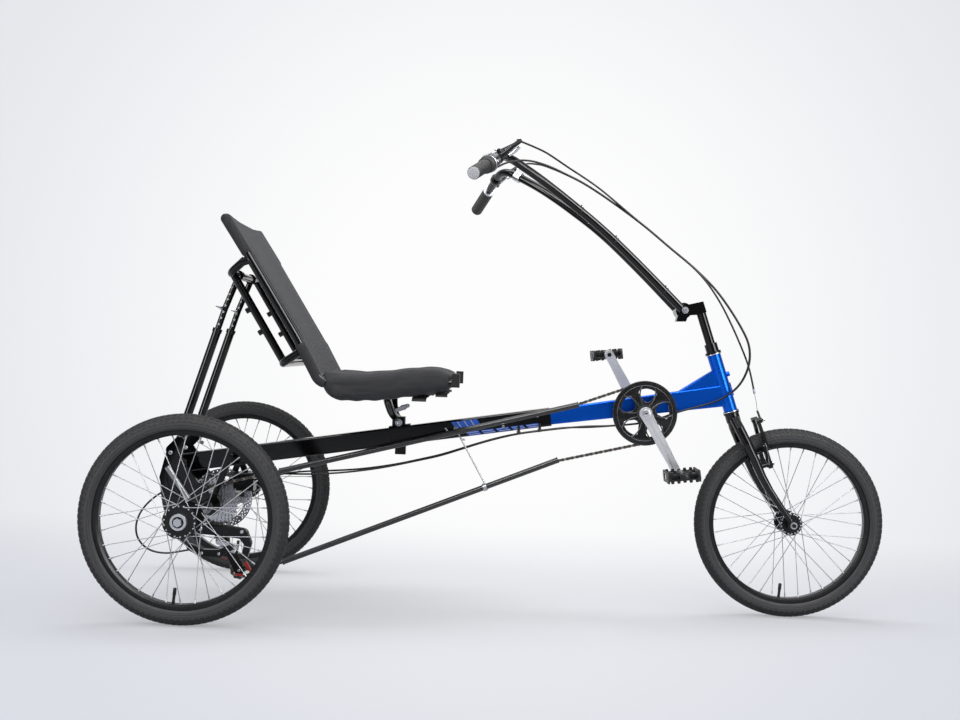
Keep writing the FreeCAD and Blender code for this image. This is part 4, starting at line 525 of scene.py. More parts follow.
def tyre(name, body, x, y):
    carcass = shaped(name + " tyre", [tyre_body(x, y)], tyre_rubber, body, name + "_tyre",
                     sharp=50)
    carcass.data.materials.append(groove_painted_shade)
    centre = Vector((x, y, AXLE_HEIGHT))
    # painted shade: the crown between the tread blocks and three thin rings on each side wall take the
    # darker groove finish
    for face in carcass.data.polygons:
        middle = face.center - centre
        radius = math.hypot(middle.x, middle.z)
        in_line = any(abs(radius - line) < 0.0005 for line in (0.2168, 0.2225, 0.2290))
        face.material_index = 1 if radius > 0.2352 or in_line else 0
    # each block: start and end along the tread, skew, and its edges in degrees from the crown
    blocks = ((-0.0062, 0.0062, 0.0, -9.0, 9.0), (-0.0056, 0.0042, 0.003, 12.0, 30.0),
              (-0.0042, 0.0056, -0.003, -30.0, -12.0), (-0.0050, 0.0040, 0.002, 34.0, 54.0),
              (-0.0040, 0.0050, -0.002, -54.0, -34.0), (-0.0036, 0.0052, 0.002, 58.0, 78.0),
              (-0.0052, 0.0036, -0.002, -78.0, -58.0))
    count = 104
    places = []
    for step in range(count):
        turn = 2 * math.pi * step / count
        out = Vector((math.sin(turn), 0, math.cos(turn)))
        along = Vector((math.cos(turn), 0, -math.sin(turn)))
        places.append(facing(centre + out * WHEEL_RADIUS, out, along))
    copied(name + " tread", tread_block(blocks), places, tread_rubber, body)


def wheel_metal(name, body, x, y):
    """Nipples at the rim, the spokes' heads, the valve and the rim's edge lines."""
    dress(rim_black, "rim_black", name + "_rim_and_hub")
    dress(spoke_bright, "spoke_steel", name + "_spokes")
    hole_r, flange = (0.036, 0.037) if y else (0.026, 0.031)
    hub_y = y + math.copysign(0.002, y) if y else 0.0
    nipple = turned([(0, 0), (0, 1.7), (9, 1.7), (9.8, 2.2), (12.5, 2.2)], (0, 0, 0), (0, 0, 1), 10)
    places = []
    for index in range(36):
        face = 1 if (index // 2) % 2 else -1
        side = 1 if index % 2 else -1
        turn = math.radians(10.0 * index)
        offset = 0.0052 if face == side else 0.0026
        hub_end = wheel_point(x, hub_y + side * flange + face * offset, hole_r,
                              turn + math.radians(60.0) * face)
        rim_end = wheel_point(x, y + face * 0.0015, 0.1991, turn)
        run = (rim_end - hub_end).normalized()
        places.append(facing(rim_end - run * 0.0110, run))
    copied(name + " nipples", nipple, places, spoke_bright, body)
    head = turned([(0, 2.4), (0.7, 2.3), (1.4, 1.3), (1.6, 0)], (0, 0, 0), (0, 0, 1), 10)
    heads = []
    for side in (-1, 1):
        for index in range(18):
            turn = math.radians(20.0 * index + 5.0 * side)
            heads.append(facing(wheel_point(x, y + side * (flange + 0.0026), hole_r, turn), (0, side, 0)))
    copied(name + " spoke heads", head, heads, spoke_bright, body)
    out = wheel_point(0, 0, 1, math.radians(5.0)) - Vector((0, 0, AXLE_HEIGHT))
    valve = turned([(0, 0), (0, 3.6), (19, 3.6), (19.4, 4.3), (34.5, 4.3), (36.6, 3.4), (37.2, 0)],
                   Vector((x, y, AXLE_HEIGHT)) - out * 0.1995, out, 24)
    shaped(name + " valve", [valve], satin_black, body)
    edges = []
    for side in (-1, 1):
        edges.append(turned([(-0.3, 212.6), (-0.3, 213.2), (0.2, 213.4), (0.5, 212.6), (0.2, 211.6)],
                            (x, y + side * 0.0133, AXLE_HEIGHT), (0, side, 0), 120))
    shaped(name + " rim edges", edges, satin_black, body)


# outer end of a rear hub: piece, outline, distance from the wheel's plane, sides, finish and slot
HUB_PARTS = (("hub cap", ((-14.5, 18.3), (-14.5, 19.2), (-13.5, 19.6), (0.2, 19.6), (1.6, 18.6),
                          (1.6, 13.6), (-0.4, 12.8)), 0.052, 56, silver_alloy, "steel"),
             ("hub seal", ((-0.4, 13), (0.4, 12.6), (0.4, 0)), 0.052, 40, rim_black, "rim_black"),
             ("axle nut", ((0, 0), (0, 10), (6.2, 10), (7, 9), (7, 6), (4, 5.6)), 0.052, 6,
              dull_steel, "steel"),
             # a dark disc set into the axle nut: painted shade standing in for the hollow bore
             ("axle bore", ((4.1, 5.8), (4.1, 0)), 0.052, 24, satin_black, "rim_black"),
             ("flange edge", ((-0.6, 39.6), (-0.6, 40.4), (0, 40.9), (0.6, 40.4), (0.6, 39.6)), 0.039,
              72, satin_black, "rim_black"))
for wheel_name, wheel_body, wheel_x, wheel_y in WHEELS:
    tyre(wheel_name, wheel_body, wheel_x, wheel_y)
    wheel_metal(wheel_name, wheel_body, wheel_x, wheel_y)
for wheel_name, wheel_body, wheel_x, wheel_y in WHEELS[1:]:
    hub_side = 1 if wheel_y > 0 else -1
    for part_name, outline, out, sides, made, slot in HUB_PARTS:
        hub_part = turned(outline, (wheel_x, wheel_y + hub_side * out, AXLE_HEIGHT), (0, hub_side, 0),
                          sides)
        shaped(wheel_name.replace("_", " ") + " " + part_name, [hub_part], made, wheel_body)
dress(bright_steel, "steel", "front_axle", "stub_axle", "axle_shaft", "brake_rotor")


# ---------------------------------------------------------------- rear side frames and struts
# Black plates and tubes that carry the rear axle, with the telescoping struts up to the seat.
dress(gloss_black, "frame_black", "rear_side_frames", "axle_housings", "strut_outer_tubes",
      "strut_inner_tubes", "seat_brace", "seat_frame")
dress(satin_black, "frame_black", "brake_caliper")
side_bolts = []
for bolt_x, bolt_z in ((-0.8658, 0.381), (-0.8272, 0.3956), (-0.8658, 0.332), (-0.758, 0.285)):
    for bolt_side in (-1, 1):
        side_bolts.append(cap_screw((bolt_x, bolt_side * 0.0842, bolt_z), (0, bolt_side, 0), 5.2, 5))
shaped("side frame screws", side_bolts, bright_steel, "frame")
# ---------------------------------------------------------------- seat
# Stretched seat fabric sewn as a flat sleeve over the two back rails, open at the sides where the
# braces meet the rails, and a foam cushion in the same fabric, held to the rails by straps.
seat_fabric = finish("woven seat fabric", "2e2e30", 0.78, tone=0.1, grain=9, second="38383a", weave=1.3,
                     shine=0.2)
black_plastic = finish("black plastic", "111112", 0.42, tone=0.3, grain=6, bump=0.02, bump_grain=0.7,
                       shine=0.4)
seat_binding = finish("woven black binding", "1c1c1e", 0.74, tone=0.2, grain=3, weave=0.9)
RAIL_LINE = ((-0.722, 0.984), (-0.664, 0.897), (-0.530, 0.686), (-0.474, 0.586))
RAIL_SIDE = 0.206
RAIL_TUBE = 0.011


def rounded_line(corners, radius, pitch):
    """Even points along straight runs joined by arcs, each with its direction: (point, along)."""
    marks = [Vector(c) for c in corners]
    line = [marks[0]]
    for before, corner, after in zip(marks, marks[1:], marks[2:]):
        back, on = (before - corner).normalized(), (after - corner).normalized()
        half = back.angle(on) / 2
        reach = radius / math.tan(half)
        centre = corner + (back + on).normalized() * (radius / math.sin(half))
        start, end = corner + back * reach - centre, corner + on * reach - centre
        for step in range(13):
            line.append(centre + start.normalized().slerp(end.normalized(), step / 12) * start.length)
    line.append(marks[-1])
    lengths = np.concatenate(([0], np.cumsum([(b - a).length for a, b in zip(line, line[1:])])))
    count = max(2, int(round(lengths[-1] / pitch)) + 1)
    even = np.linspace(0, lengths[-1], count)
    flat = np.array([tuple(p) for p in line])
    points = [Vector([float(np.interp(s, lengths, flat[:, k])) for k in range(3)]) for s in even]
    rows = []
    for index, point in enumerate(points):
        run = points[min(index + 1, count - 1)] - points[max(index - 1, 0)]
        rows.append((point, run.normalized()))
    return rows


def ease(value, start, end):
    """0 before start, 1 after end, smooth between."""
    share = min(1.0, max(0.0, (value - start) / (end - start)))
    return share * share * (3 - 2 * share)


def even_mesh(piece, voxel, levels=0):
    """Rebuilds a closed piece from small even faces, or divides each face; nothing stays live."""
    if levels:
        step = piece.modifiers.new("finer", "SUBSURF")
        step.levels = step.render_levels = levels
    else:
        step = piece.modifiers.new("even", "REMESH")
        step.mode = "VOXEL"
        step.voxel_size = voxel
        step.use_smooth_shade = True
    made = evaluated(piece)
    piece.modifiers.clear()
    old = piece.data
    piece.data = made
    bpy.data.meshes.remove(old)
    made.shade_smooth()


def plumped(piece, voxel, pressure, most, held):
    """Blows a soft piece up as cloth under pressure; held(point) is true where it is sewn down."""
    even_mesh(piece, voxel)
    rest = np.array([v.co[:] for v in piece.data.vertices])
    sewn = piece.vertex_groups.new(name="sewn")
    sewn.add([i for i, co in enumerate(rest) if held(co)], 1.0, "REPLACE")
    cloth = piece.modifiers.new("cloth", "CLOTH")
    cloth.settings.quality = 4
    cloth.settings.mass = 0.35
    cloth.settings.tension_stiffness = 14
    cloth.settings.compression_stiffness = 14
    cloth.settings.bending_stiffness = 0.6
    cloth.settings.use_pressure = True
    cloth.settings.uniform_pressure_force = pressure
    cloth.settings.effector_weights.gravity = 0
    cloth.settings.vertex_group_mass = "sewn"
    cloth.settings.pin_stiffness = 1.0
    cloth.point_cache.frame_start = 1
    cloth.point_cache.frame_end = 20
    scene = bpy.context.scene
    for count in range(1, 21):
        scene.frame_set(count)
    seen = piece.evaluated_get(bpy.context.evaluated_depsgraph_get())
    moved = np.array([v.co[:] for v in seen.data.vertices]) - rest
    lengths = np.maximum(np.linalg.norm(moved, axis=1, keepdims=True), 1e-9)
    placed = rest + moved * np.minimum(1.0, most / lengths)
    piece.modifiers.remove(cloth)
    piece.vertex_groups.clear()
    piece.data.vertices.foreach_set("co", placed.ravel())
    piece.data.update()
    scene.frame_set(1)
    even_mesh(piece, voxel, levels=1)


def back_section(s, open_side):
    """Half of the sleeve's section at distance s down the rails: (across, towards the rider)."""
    skin = RAIL_TUBE + 0.0024
    sag = 0.35 + 0.65 * ease(s, 0.0, 0.07)
    flat = 0.190
    rows = []
    for step in range(13):
        y = flat * step / 12
        rows.append((y, skin - 0.0050 * sag * (1 - (y / RAIL_SIDE) ** 2)))
    wrapped = [(RAIL_SIDE + skin * math.cos(a), skin * math.sin(a))
               for a in (math.radians(90 - 22.5 * step) for step in range(9))]
    bare = ((0.1950, 0.0122), (0.1960, 0.0112), (0.1962, 0.0098), (0.1960, 0.0080), (0.1958, 0.0056),
            (0.1955, 0.0028), (0.1950, -0.0004), (0.1935, -0.0064), (0.1905, -0.0114))
    for (y0, n0), (y1, n1) in zip(wrapped, bare):
        rows.append((y0 + (y1 - y0) * open_side, n0 + (n1 - n0) * open_side))
    for step in range(13):
        y = flat * (12 - step) / 12
        rows.append((y, -skin + 0.0060 * sag * (1 - (y / RAIL_SIDE) ** 2)))
    return rows


def back_sleeve():
    corners = [(x, 0, z) for x, z in RAIL_LINE] + [(-0.4560, 0, 0.5790)]
    first = (Vector(corners[0]) - Vector(corners[1])).normalized()
    corners[0] = Vector(corners[0]) + first * 0.0050
    line = rounded_line(corners, 0.030, 0.004)
    rows = []
    for index, (point, along) in enumerate(line):
        s = 0.004 * index
        front = Vector((-along.z, 0, along.x))
        opened = ease(s, 0.112, 0.122) - ease(s, 0.362, 0.374)
        close = math.sqrt(1 - (1 - min(1.0, (s + 0.0006) / 0.0085)) ** 2)
        half = back_section(s, opened)
        row = []
        for y, n in half + [(-y, n) for y, n in half[-2:0:-1]]:
            dip = 0.012 * (1 - min(1.0, abs(y) / 0.2) ** 2) * max(0.0, 1 - s / 0.06)
            row.append(point + along * dip + front * (n * close) + Vector((0, y, 0)))
        rows.append(row)
    return skinned(rows, ends=True)


seat_back = shaped("seat back sleeve", [back_sleeve()], seat_fabric, sharp=80)
plumped(seat_back, 0.0038, 1.2, 0.003, lambda co: abs(co[1]) > 0.176 or co[2] > 0.965 or co[2] < 0.60)
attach(seat_back, "frame")
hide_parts("seat_back_pad")


def through(marks, each):
    """Closed smooth outline through a few marks, with a number of points between neighbours."""
    count = len(marks)
    rows = []
    for index in range(count):
        p = [Vector(marks[(index + k) % count]) for k in (-1, 0, 1, 2)]
        for step in range(each):
            t = step / each
            rows.append(0.5 * (2 * p[1] + (p[2] - p[0]) * t + (2 * p[0] - 5 * p[1] + 4 * p[2] - p[3]) * t
                               * t + (3 * p[1] - p[0] - 3 * p[2] + p[3]) * t ** 3))
    return rows


# outline of the cushion in the side view: along, up
CUSHION_SIDE = ((-0.467, 0.59), (-0.462, 0.566), (-0.446, 0.547), (-0.42, 0.5385), (-0.366, 0.54),
                (-0.312, 0.543), (-0.232, 0.556), (-0.16, 0.569), (-0.141, 0.58), (-0.1395, 0.6),
                (-0.152, 0.612), (-0.189, 0.6205), (-0.251, 0.6165), (-0.326, 0.606), (-0.392, 0.601),
                (-0.44, 0.603), (-0.462, 0.604))


def cushion_form():
    outline = through(CUSHION_SIDE, 6)
    half, nose = 0.2215, 0.030
    rows = []
    for step in [-1 + 2 * k / 44 for k in range(45)]:
        y = half * math.copysign(1 - (1 - abs(step)) ** 1.6, step) if abs(step) > 0 else 0.0
        beyond = max(0.0, (abs(y) - (half - nose)) / nose)
        keep = max(0.0, 1 - beyond ** 3.2) ** (1 / 3.2)
        crown = 0.003 * (1 - (y / half) ** 2)
        row = []
        for mark in outline:
            core_x = min(-0.172, max(-0.432, mark.x))
            core_z = 0.576 + 0.095 * (core_x + 0.30)
            lift = crown if mark.y > core_z else 0.0
            row.append((core_x + (mark.x - core_x) * keep, y, core_z + (mark.y + lift - core_z) * keep))
        rows.append(row)
    return skinned(rows)


def soft_folds(piece, body_of_folds):
    """Moves each point along its normal by a sum of long shallow folds."""
    count = len(piece.data.vertices)
    places = np.empty(count * 3)
    piece.data.vertices.foreach_get("co", places)
    places = places.reshape(-1, 3)
    normals = np.array([n.vector[:] for n in piece.data.vertex_normals])
    piece.data.vertices.foreach_set("co", (places + normals * body_of_folds(places, normals)[:,
            None]).ravel())
    piece.data.update()


def cushion_folds(p, n):
    """Folds that run along the sides, strongest low down and towards the rear corner."""
    side = np.clip(np.abs(n[:, 1]) * 1.4, 0, 1)
    low = np.clip((0.600 - p[:, 2]) / 0.05, 0, 1)
    rear = np.clip((-0.30 - p[:, 0]) / 0.15, 0, 1)
    slope = p[:, 2] - 0.09 * p[:, 0]
    folds = np.zeros(len(p))
    for pitch, drift, share in ((0.021, 17.0, 0.5), (0.034, 9.0, 1.0), (0.013, 31.0, 0.35)):
        folds += share * np.sin(2 * math.pi * slope / pitch + 2.2 * np.sin(drift * p[:,
                0]) + 40 * np.sign(p[:, 1]))
    under = np.clip(-n[:, 2], 0, 1) * 0.001 * np.sin(2 * math.pi * p[:,
            0] / 0.045 + 3 * np.sin(11 * p[:, 1]))
    top = np.clip(n[:, 2], 0, 1) * 0.0007 * np.sin(2 * math.pi * p[:, 0] / 0.07 + 2 * np.sin(14 * p[:, 1]))
    return 0.0009 * side * (0.35 + 0.65 * low) * (0.5 + 0.8 * rear) * folds + under + top


seat_base = shaped("seat cushion cover", [cushion_form()], seat_fabric, sharp=80)
plumped(seat_base, 0.0055, 3.0, 0.0035, lambda co: abs(co[1]) < 0.19 and co[2] < 0.56)
soft_folds(seat_base, cushion_folds)
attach(seat_base, "frame")
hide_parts("seat_cushion")
dress(black_plastic, "black_plastic", "seat_end_plugs")


def webbing(line, width, thick):
    """Flat woven strap along a line of (point, up) pairs, its ends cut square."""
    rows = []
    for index, (point, up) in enumerate(line):
        run = Vector(line[min(index + 1, len(line) - 1)][0]) - Vector(line[max(index - 1, 0)][0])
        across = run.cross(Vector(up)).normalized() * (width / 2)
        lift = Vector(up).normalized() * (thick / 2)
        rows.append([Vector(point) + across * side + lift * level
                     for side, level in ((-1, -1), (1, -1), (1, 1), (-1, 1))])
    return skinned(rows, ends=True)


straps = []
for strap_x, strap_z, strap_wide, strap_drop in ((-0.222, 0.5535, 0.036, 0.008),
        (-0.168, 0.564, 0.03, 0.006)):
    strap_line = []
    for step in range(25):
        strap_y = -0.2085 + 0.417 * step / 24
        end_drop = strap_drop * max(0.0, (abs(strap_y) - 0.17) / 0.0385) ** 1.5
        wave = 0.0012 * math.sin(37 * strap_y + strap_x * 90)
        strap_line.append(((strap_x + wave, strap_y, strap_z - end_drop - 0.0015 + wave * 0.4), (0, 0, 1)))
    straps.append(webbing(strap_line, strap_wide, 0.0022))
shaped("cushion straps", straps, seat_binding, "frame")


def bead(line, radius, sides=8):
    """Round cord along a line of points, with closed ends."""
    marks = [Vector(p) for p in line]
    turns = [2 * math.pi * side / sides for side in range(sides)]
    rows = []
    for index, point in enumerate(marks):
        run = (marks[min(index + 1, len(marks) - 1)] - marks[max(index - 1, 0)]).normalized()
        across = run.cross(Vector((0.3, 1, 0.2))).normalized()
        other = run.cross(across)
        rows.append([point + across * (radius * math.cos(t)) + other * (radius * math.sin(t))
                     for t in turns])
    return skinned(rows, ends=True)


def halved(line):
    """A line of points with one more midway between each two."""
    return [p for a, b in zip(line, line[1:]) for p in (a, (a + b) / 2)] + [line[-1]]


def set_at(place, shape):
    """A shape moved from its own axes to a place."""
    return [place @ Vector(p) for p in shape[0]], shape[1]


# ---------------------------------------------------------------- chain, tubes and cassette
# Roller chain with steel side plates, running through two black plastic tubes that keep it clear
# of the rider; a toothed ring drives it and a seven-speed cassette takes it at the rear axle.
chain_steel = finish("chain steel", "8a8680", 0.34, metal=0.8, second="a6a29b", grain=2)
# the outer links are drawn darker than the inner ones
link_dark = finish("oiled outer links", "403d3a", 0.4, metal=0.6, second="57534f", grain=2)
tube_plastic = finish("grey black tube plastic", "2b2b2c", 0.24, tone=0.2, grain=40)
CHAIN_MID = -48.0
PITCH = 12.7


def at(x, y, z):
    """Point in metres from millimetres, its height measured from the axles."""
    return Vector((x, y, z + 250.0)) / 1000


def belt(stations, pitch):
    """Even places along a belt over wheels (x, z, signed radius): lists of (x, z, direction)."""
    runs = []
    for (xa, za, ra), (xb, zb, rb) in zip(stations, stations[1:]):
        normal = math.atan2(zb - za, xb - xa) + math.acos((rb - ra) / math.hypot(xb - xa, zb - za))
        nx, nz = math.cos(normal), math.sin(normal)
        runs.append(((xa - nx * ra, za - nz * ra), (xb - nx * rb, zb - nz * rb)))
    line = [runs[0][0]]
    for index, (_, end) in enumerate(runs):
        line.append(end)
        if index + 1 < len(runs):
            x, z, radius = stations[index + 1]
            leave = runs[index + 1][0]
            a0 = math.atan2(end[1] - z, end[0] - x)
            sweep = (math.atan2(leave[1] - z, leave[0] - x) - a0) % (2 * math.pi)
            sweep -= 2 * math.pi if radius < 0 else 0.0
            if abs(sweep) < 2 * math.pi - 0.02:
                line += [(x + abs(radius) * math.cos(a0 + sweep * k / 40),
                          z + abs(radius) * math.sin(a0 + sweep * k / 40)) for k in range(1, 40)]
            line.append(leave)
    flat = np.array(line)
    lengths = np.concatenate(([0], np.cumsum(np.hypot(*np.diff(flat, axis=0).T))))
    even = np.arange(pitch / 2, lengths[-1] - pitch / 2, pitch)
    here, ahead, behind = [np.array([np.interp(even + shift, lengths, flat[:, k]) for k in (0, 1)]).T
                           for shift in (0, 2, -2)]
    return [(float(x), float(z), Vector((ax - bx, 0, az - bz)).normalized())
            for (x, z), (ax, az), (bx, bz) in zip(here, ahead, behind)]


def slab(outline, low, high):
    """Flat plate: an outline in x and y between two heights."""
    return skinned([[(x, y, z) for x, y in outline] for z in (low, high)], ends=True)


def box(half_x, half_y):
    """Outline of a rectangle."""
    return [(-half_x, -half_y), (half_x, -half_y), (half_x, half_y), (-half_x, half_y)]


def link_plate(low, high):
    """Figure-of-eight side plate of a link."""
    half, end_r, waist = PITCH / 2000, 0.0041, 0.0029
    outline = []
    for side in (1, -1):
        for turn in (-70, -35, 0, 35, 70):
            angle = math.radians(turn if side > 0 else turn + 180)
            outline.append((side * half + end_r * math.cos(angle), end_r * math.sin(angle)))
        outline.append((0.0, side * waist))
    return slab(outline, low, high)


def chain_links(name, stations, stands_for=None):
    """Links along a belt: every other one inner, with its roller, and outer, with its two pins."""
    places = belt(stations, PITCH)
    half = PITCH / 2000
    inner = gathered(link_plate(-0.0025, -0.0015), link_plate(0.0015, 0.0025),
                     turned([(-2.4, 3.8), (2.4, 3.8)], (half, 0, 0), (0, 0, 1), 10))
    pins = [turned(rod(-3.9, 3.9, 1.7), (x, 0, 0), (0, 0, 1), 8) for x in (half, -half)]
    outer = gathered(link_plate(-0.0035, -0.0026), link_plate(0.0026, 0.0035), *pins)
    for kind, shape, first, made in (("inner", inner, 0, chain_steel), ("outer", outer, 1, link_dark)):
        turns = [facing(at(x, CHAIN_MID, z), (0, -1, 0), run) for x, z, run in places[first::2]]
        piece = copied("%s %s links" % (name, kind), shape, turns, made, "frame")
        if stands_for and kind == "inner":
            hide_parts(stands_for)


def along_tube(tube, depth):
    """Station of a belt at a depth inside a tube's first end."""
    (xa, za), (xb, zb) = tube
    share = depth / math.hypot(xb - xa, zb - za)
    return xa + (xb - xa) * share, za + (zb - za) * share, 0.0


UPPER_TUBE = ((-588, 90), (185, 293))
LOWER_TUBE = ((-571, -147), (137, 146.5))
chain_links("front", (along_tube(LOWER_TUBE[::-1], 12), (360.0, 278.0, 76.9),
                      along_tube(UPPER_TUBE[::-1], 12)), "chain")
chain_links("rear", (along_tube(UPPER_TUBE, 12), (-758.0, 0.0, 45.0), (-737.0, -87.0, -20.0),
                     (-684.0, -172.0, 20.0), along_tube(LOWER_TUBE, 12)))
dress(tube_plastic, "black_plastic", "chain_tubes")
dress(bright_steel, "steel", "cassette")
dress(spoke_bright, "steel", "chain_tube_hanger")
tube_lips = []
for tube_ends in (UPPER_TUBE, LOWER_TUBE):
    start, end = [at(x, CHAIN_MID, z) for x, z in tube_ends]
    tube_run = (end - start).normalized()
    for end_x, end_z in tube_ends:
        tube_lips.append(turned([(-1.6, 7.4), (-1.2, 8.2), (0, 8.5), (1.2, 8.2), (1.6, 7.4), (1.6, 6.1),
                                 (-1.6, 6.1)], at(end_x, CHAIN_MID, end_z), tube_run, 28))
shaped("chain tube lips", tube_lips, tube_plastic, "frame")


def flat_part(name, loops, thick, edge, place, made, body, stands_for=None):
    """Plate with holes and eased edges: closed loops of (x, y) in metres, the first the outside."""
    curve = bpy.data.curves.new(name, "CURVE")
    curve.dimensions = "2D"
    curve.fill_mode = "BOTH"
    curve.extrude = thick / 2 - edge
    curve.bevel_depth = edge
    curve.bevel_resolution = 2
    curve.offset = -edge
    for loop in loops:
        spline = curve.splines.new("POLY")
        spline.points.add(len(loop) - 1)
        spline.points.foreach_set("co", [v for x, y in loop for v in (x, y, 0.0, 1.0)])
        spline.use_cyclic_u = True
    holder = bpy.data.objects.new(name, curve)
    bpy.context.scene.collection.objects.link(holder)
    data = evaluated(holder)
    bpy.data.objects.remove(holder)
    data.transform(place)
    smoothed(data, made, 30)
    return entered(name, data, body, stands_for)


def circle(radius, sides=48, x=0.0, y=0.0):
    turns = [2 * math.pi * k / sides for k in range(sides)]
    return [(x + radius * math.cos(turn), y + radius * math.sin(turn)) for turn in turns]


def toothed(teeth, pitch_r, root=-0.0034, tip=0.0022):
    """Outline of a toothed wheel; root and tip are measured from the pitch circle."""
    rows = []
    for tooth in range(teeth):
        for share, rise in ((-0.34, root), (-0.16, tip * 0.6), (-0.08, tip), (0.08, tip), (0.16, tip * 0.6),
                            (0.34, root)):
            turn = 2 * math.pi * (tooth + share) / teeth
            rows.append(((pitch_r + rise) * math.cos(turn), (pitch_r + rise) * math.sin(turn)))
    return rows


# ---------------------------------------------------------------- cranks and ring
# Cast black spider with five flared arms and an outer guard ring over a steel chainring, and two
# forged silver alloy arms on a square spindle with a dust cap in each.
crank_alloy = finish("satin forged alloy", "dcdcde", 0.3, metal=0.45, tone=0.02, grain=90)
spider_black = finish("moulded black spider", "0f0f10", 0.26, tone=0.3, grain=9, shine=0.4)
spider_painted_highlight = finish("raised ribs of the spider with painted highlight", "3a3a3b", 0.3, tone=0.2, grain=9)
CRANK_LENGTH = 172.5


def spider_window(turn):
    marks = []
    for lean, radius in ((-24, 58), (-17, 62.5), (0, 64.5), (17, 62.5), (24, 58), (24, 51), (19, 41),
                         (14, 33), (0, 29.5), (-14, 33), (-19, 41), (-24, 51)):
        angle = math.radians(turn + lean)
        marks.append((radius / 1000 * math.cos(angle), radius / 1000 * math.sin(angle)))
    return [tuple(p) for p in through(marks, 5)]


ring_face = facing(CRANK_AT + sideways(-0.0535), (0, -1, 0))
flat_part("spider and guard", [circle(0.0847, 96)] + [spider_window(-60 + 72 * k) for k in range(5)],
          0.0046, 0.0016, ring_face, spider_black, "crankset", "chainring")
# the chain stands still while the ring turns, so the teeth are cut short: they end 5.2 mm inside
# the pitch circle and don't reach the links
flat_part("toothed ring", [toothed(38, 0.0769, -0.0096, -0.0052), circle(0.064, 72)], 0.0022, 0.0004,
          facing(CRANK_AT + sideways(-0.048), (0, -1, 0)), dull_steel, "crankset")
# The ribs on the spider's arms, the two rings at the guard's edge and the boss round the spindle are a
# lighter grey than the black spider: painted highlight where these raised edges catch the light.
guard = []
for middle, wide, narrow in ((72.4, 1.2, 0.7), (83.4, 1.0, 0.5)):
    guard.append(turned([(-1, middle - wide), (0.6, middle - narrow), (1, middle), (0.6, middle + narrow),
                         (-1, middle + wide)], CRANK_AT + sideways(-0.0558), (0, -1, 0), 96))
guard.append(turned([(-0.5, 0), (-0.5, 21.5), (-10, 23.5), (-12, 22.5), (-12, 0)],
                    CRANK_AT + sideways(-0.06), (0, -1, 0), 48))
for arm_step in range(5):
    arm_turn = math.radians(-24 + 72 * arm_step)
    reach = Vector((math.cos(arm_turn), 0, math.sin(arm_turn)))
    side = Vector((-math.sin(arm_turn), 0, math.cos(arm_turn)))
    for rib_side in (-1, 1):
        rib = [CRANK_AT + sideways(-0.056) + reach * (r / 1000) + side * (rib_side * w / 1000) for r,
               w in ((20, 5.4), (30, 5.6), (42, 8.0), (52, 12.5), (60, 19.0), (66, 27.0))]
        guard.append(bead(halved(rib), 0.0019))
shaped("spider ribs and guard edge", guard, spider_painted_highlight, "crankset")
def crank_arm(side):
    """Forged arm from the spindle to the pedal with a long ridge on its outer face."""
    turn = math.radians(-60.0 if side < 0 else 120.0)
    run = Vector((math.cos(turn), 0, math.sin(turn)))
    across = Vector((0, side, 0)).cross(run)
    # distance along the arm, half width, inner and outer face from the middle plane
    stations = ((0, 16.0, 64.8, 77.0), (12, 15.6, 64.8, 77.2), (26, 14.4, 65.5, 78.8),
                (48, 13.6, 66.5, 79.8), (80, 13.8, 68.0, 80.4), (115, 12.8, 69.0, 80.4),
                (142, 11.8, 68.5, 79.8), (160, 12.2, 66.0, 78.8), (CRANK_LENGTH, 12.4, 65.0, 78.0))
    rows = []
    for along, wide, low, high in stations:
        mid = (low + high) / 2
        blend = math.sin(math.pi * min(1.0, along / CRANK_LENGTH))
        section = ((-1, low), (-1, mid + 1.0), (-0.55, high - 2.2 * blend), (-0.12, high),
                   (0.12, high - 0.3 * blend), (0.62, high - 1.2 * blend), (1, mid + 1.0), (1, low),
                   (0.4, low - 0.01), (-0.4, low - 0.01))
        rows.append([CRANK_AT + (run * along + across * (u * wide) + sideways(side * y)) / 1000 for u,
                     y in section])
    pedal_at = CRANK_AT + run * (CRANK_LENGTH / 1000)
    out = (0, side, 0)
    boss = turned([(64, 0), (64, 15.5), (65, 16.8), (76.5, 16.8), (77.8, 15.6), (77.8, 11.8), (76.8, 11.2),
                   (76.8, 0)], CRANK_AT, out, 48)
    eye = turned([(64.5, 0), (64.5, 11.2), (65.5, 12.4), (76.8, 12.4), (77.8, 11.4), (77.8, 7), (77.2, 6.4),
                  (77.2, 0)], pedal_at, out, 40)
    return gathered(skinned(rows, ends=True), boss, eye), pedal_at


arms, pedal_places = [], {}
for arm_side in (-1, 1):
    arm_shape, pedal_places[arm_side] = crank_arm(arm_side)
    arms.append(arm_shape)
shaped("crank arms", arms, crank_alloy, "crankset", "crank_arms", sharp=24)
spindles = [turned(rod(-70, 70, 8.5), CRANK_AT, (0, 1, 0), 32)]
caps = []
for arm_side in (-1, 1):
    out = (0, arm_side, 0)
    spindles.append(turned([(77, 0), (77, 7), (77.5, 7.8), (95, 7.8), (96.5, 7), (96.5, 6.2), (102, 6.2),
                            (102, 0)], pedal_places[arm_side], out, 24))
    caps.append(turned([(76.6, 0), (76.6, 11.2), (77.6, 11), (78, 9.8), (78, 5.5), (77.2, 5), (77.2, 0)],
                       CRANK_AT, out, 40))
shaped("crank and pedal spindles", spindles, dull_steel, "crankset")
shaped("crank dust caps", caps, silver_alloy, "crankset")
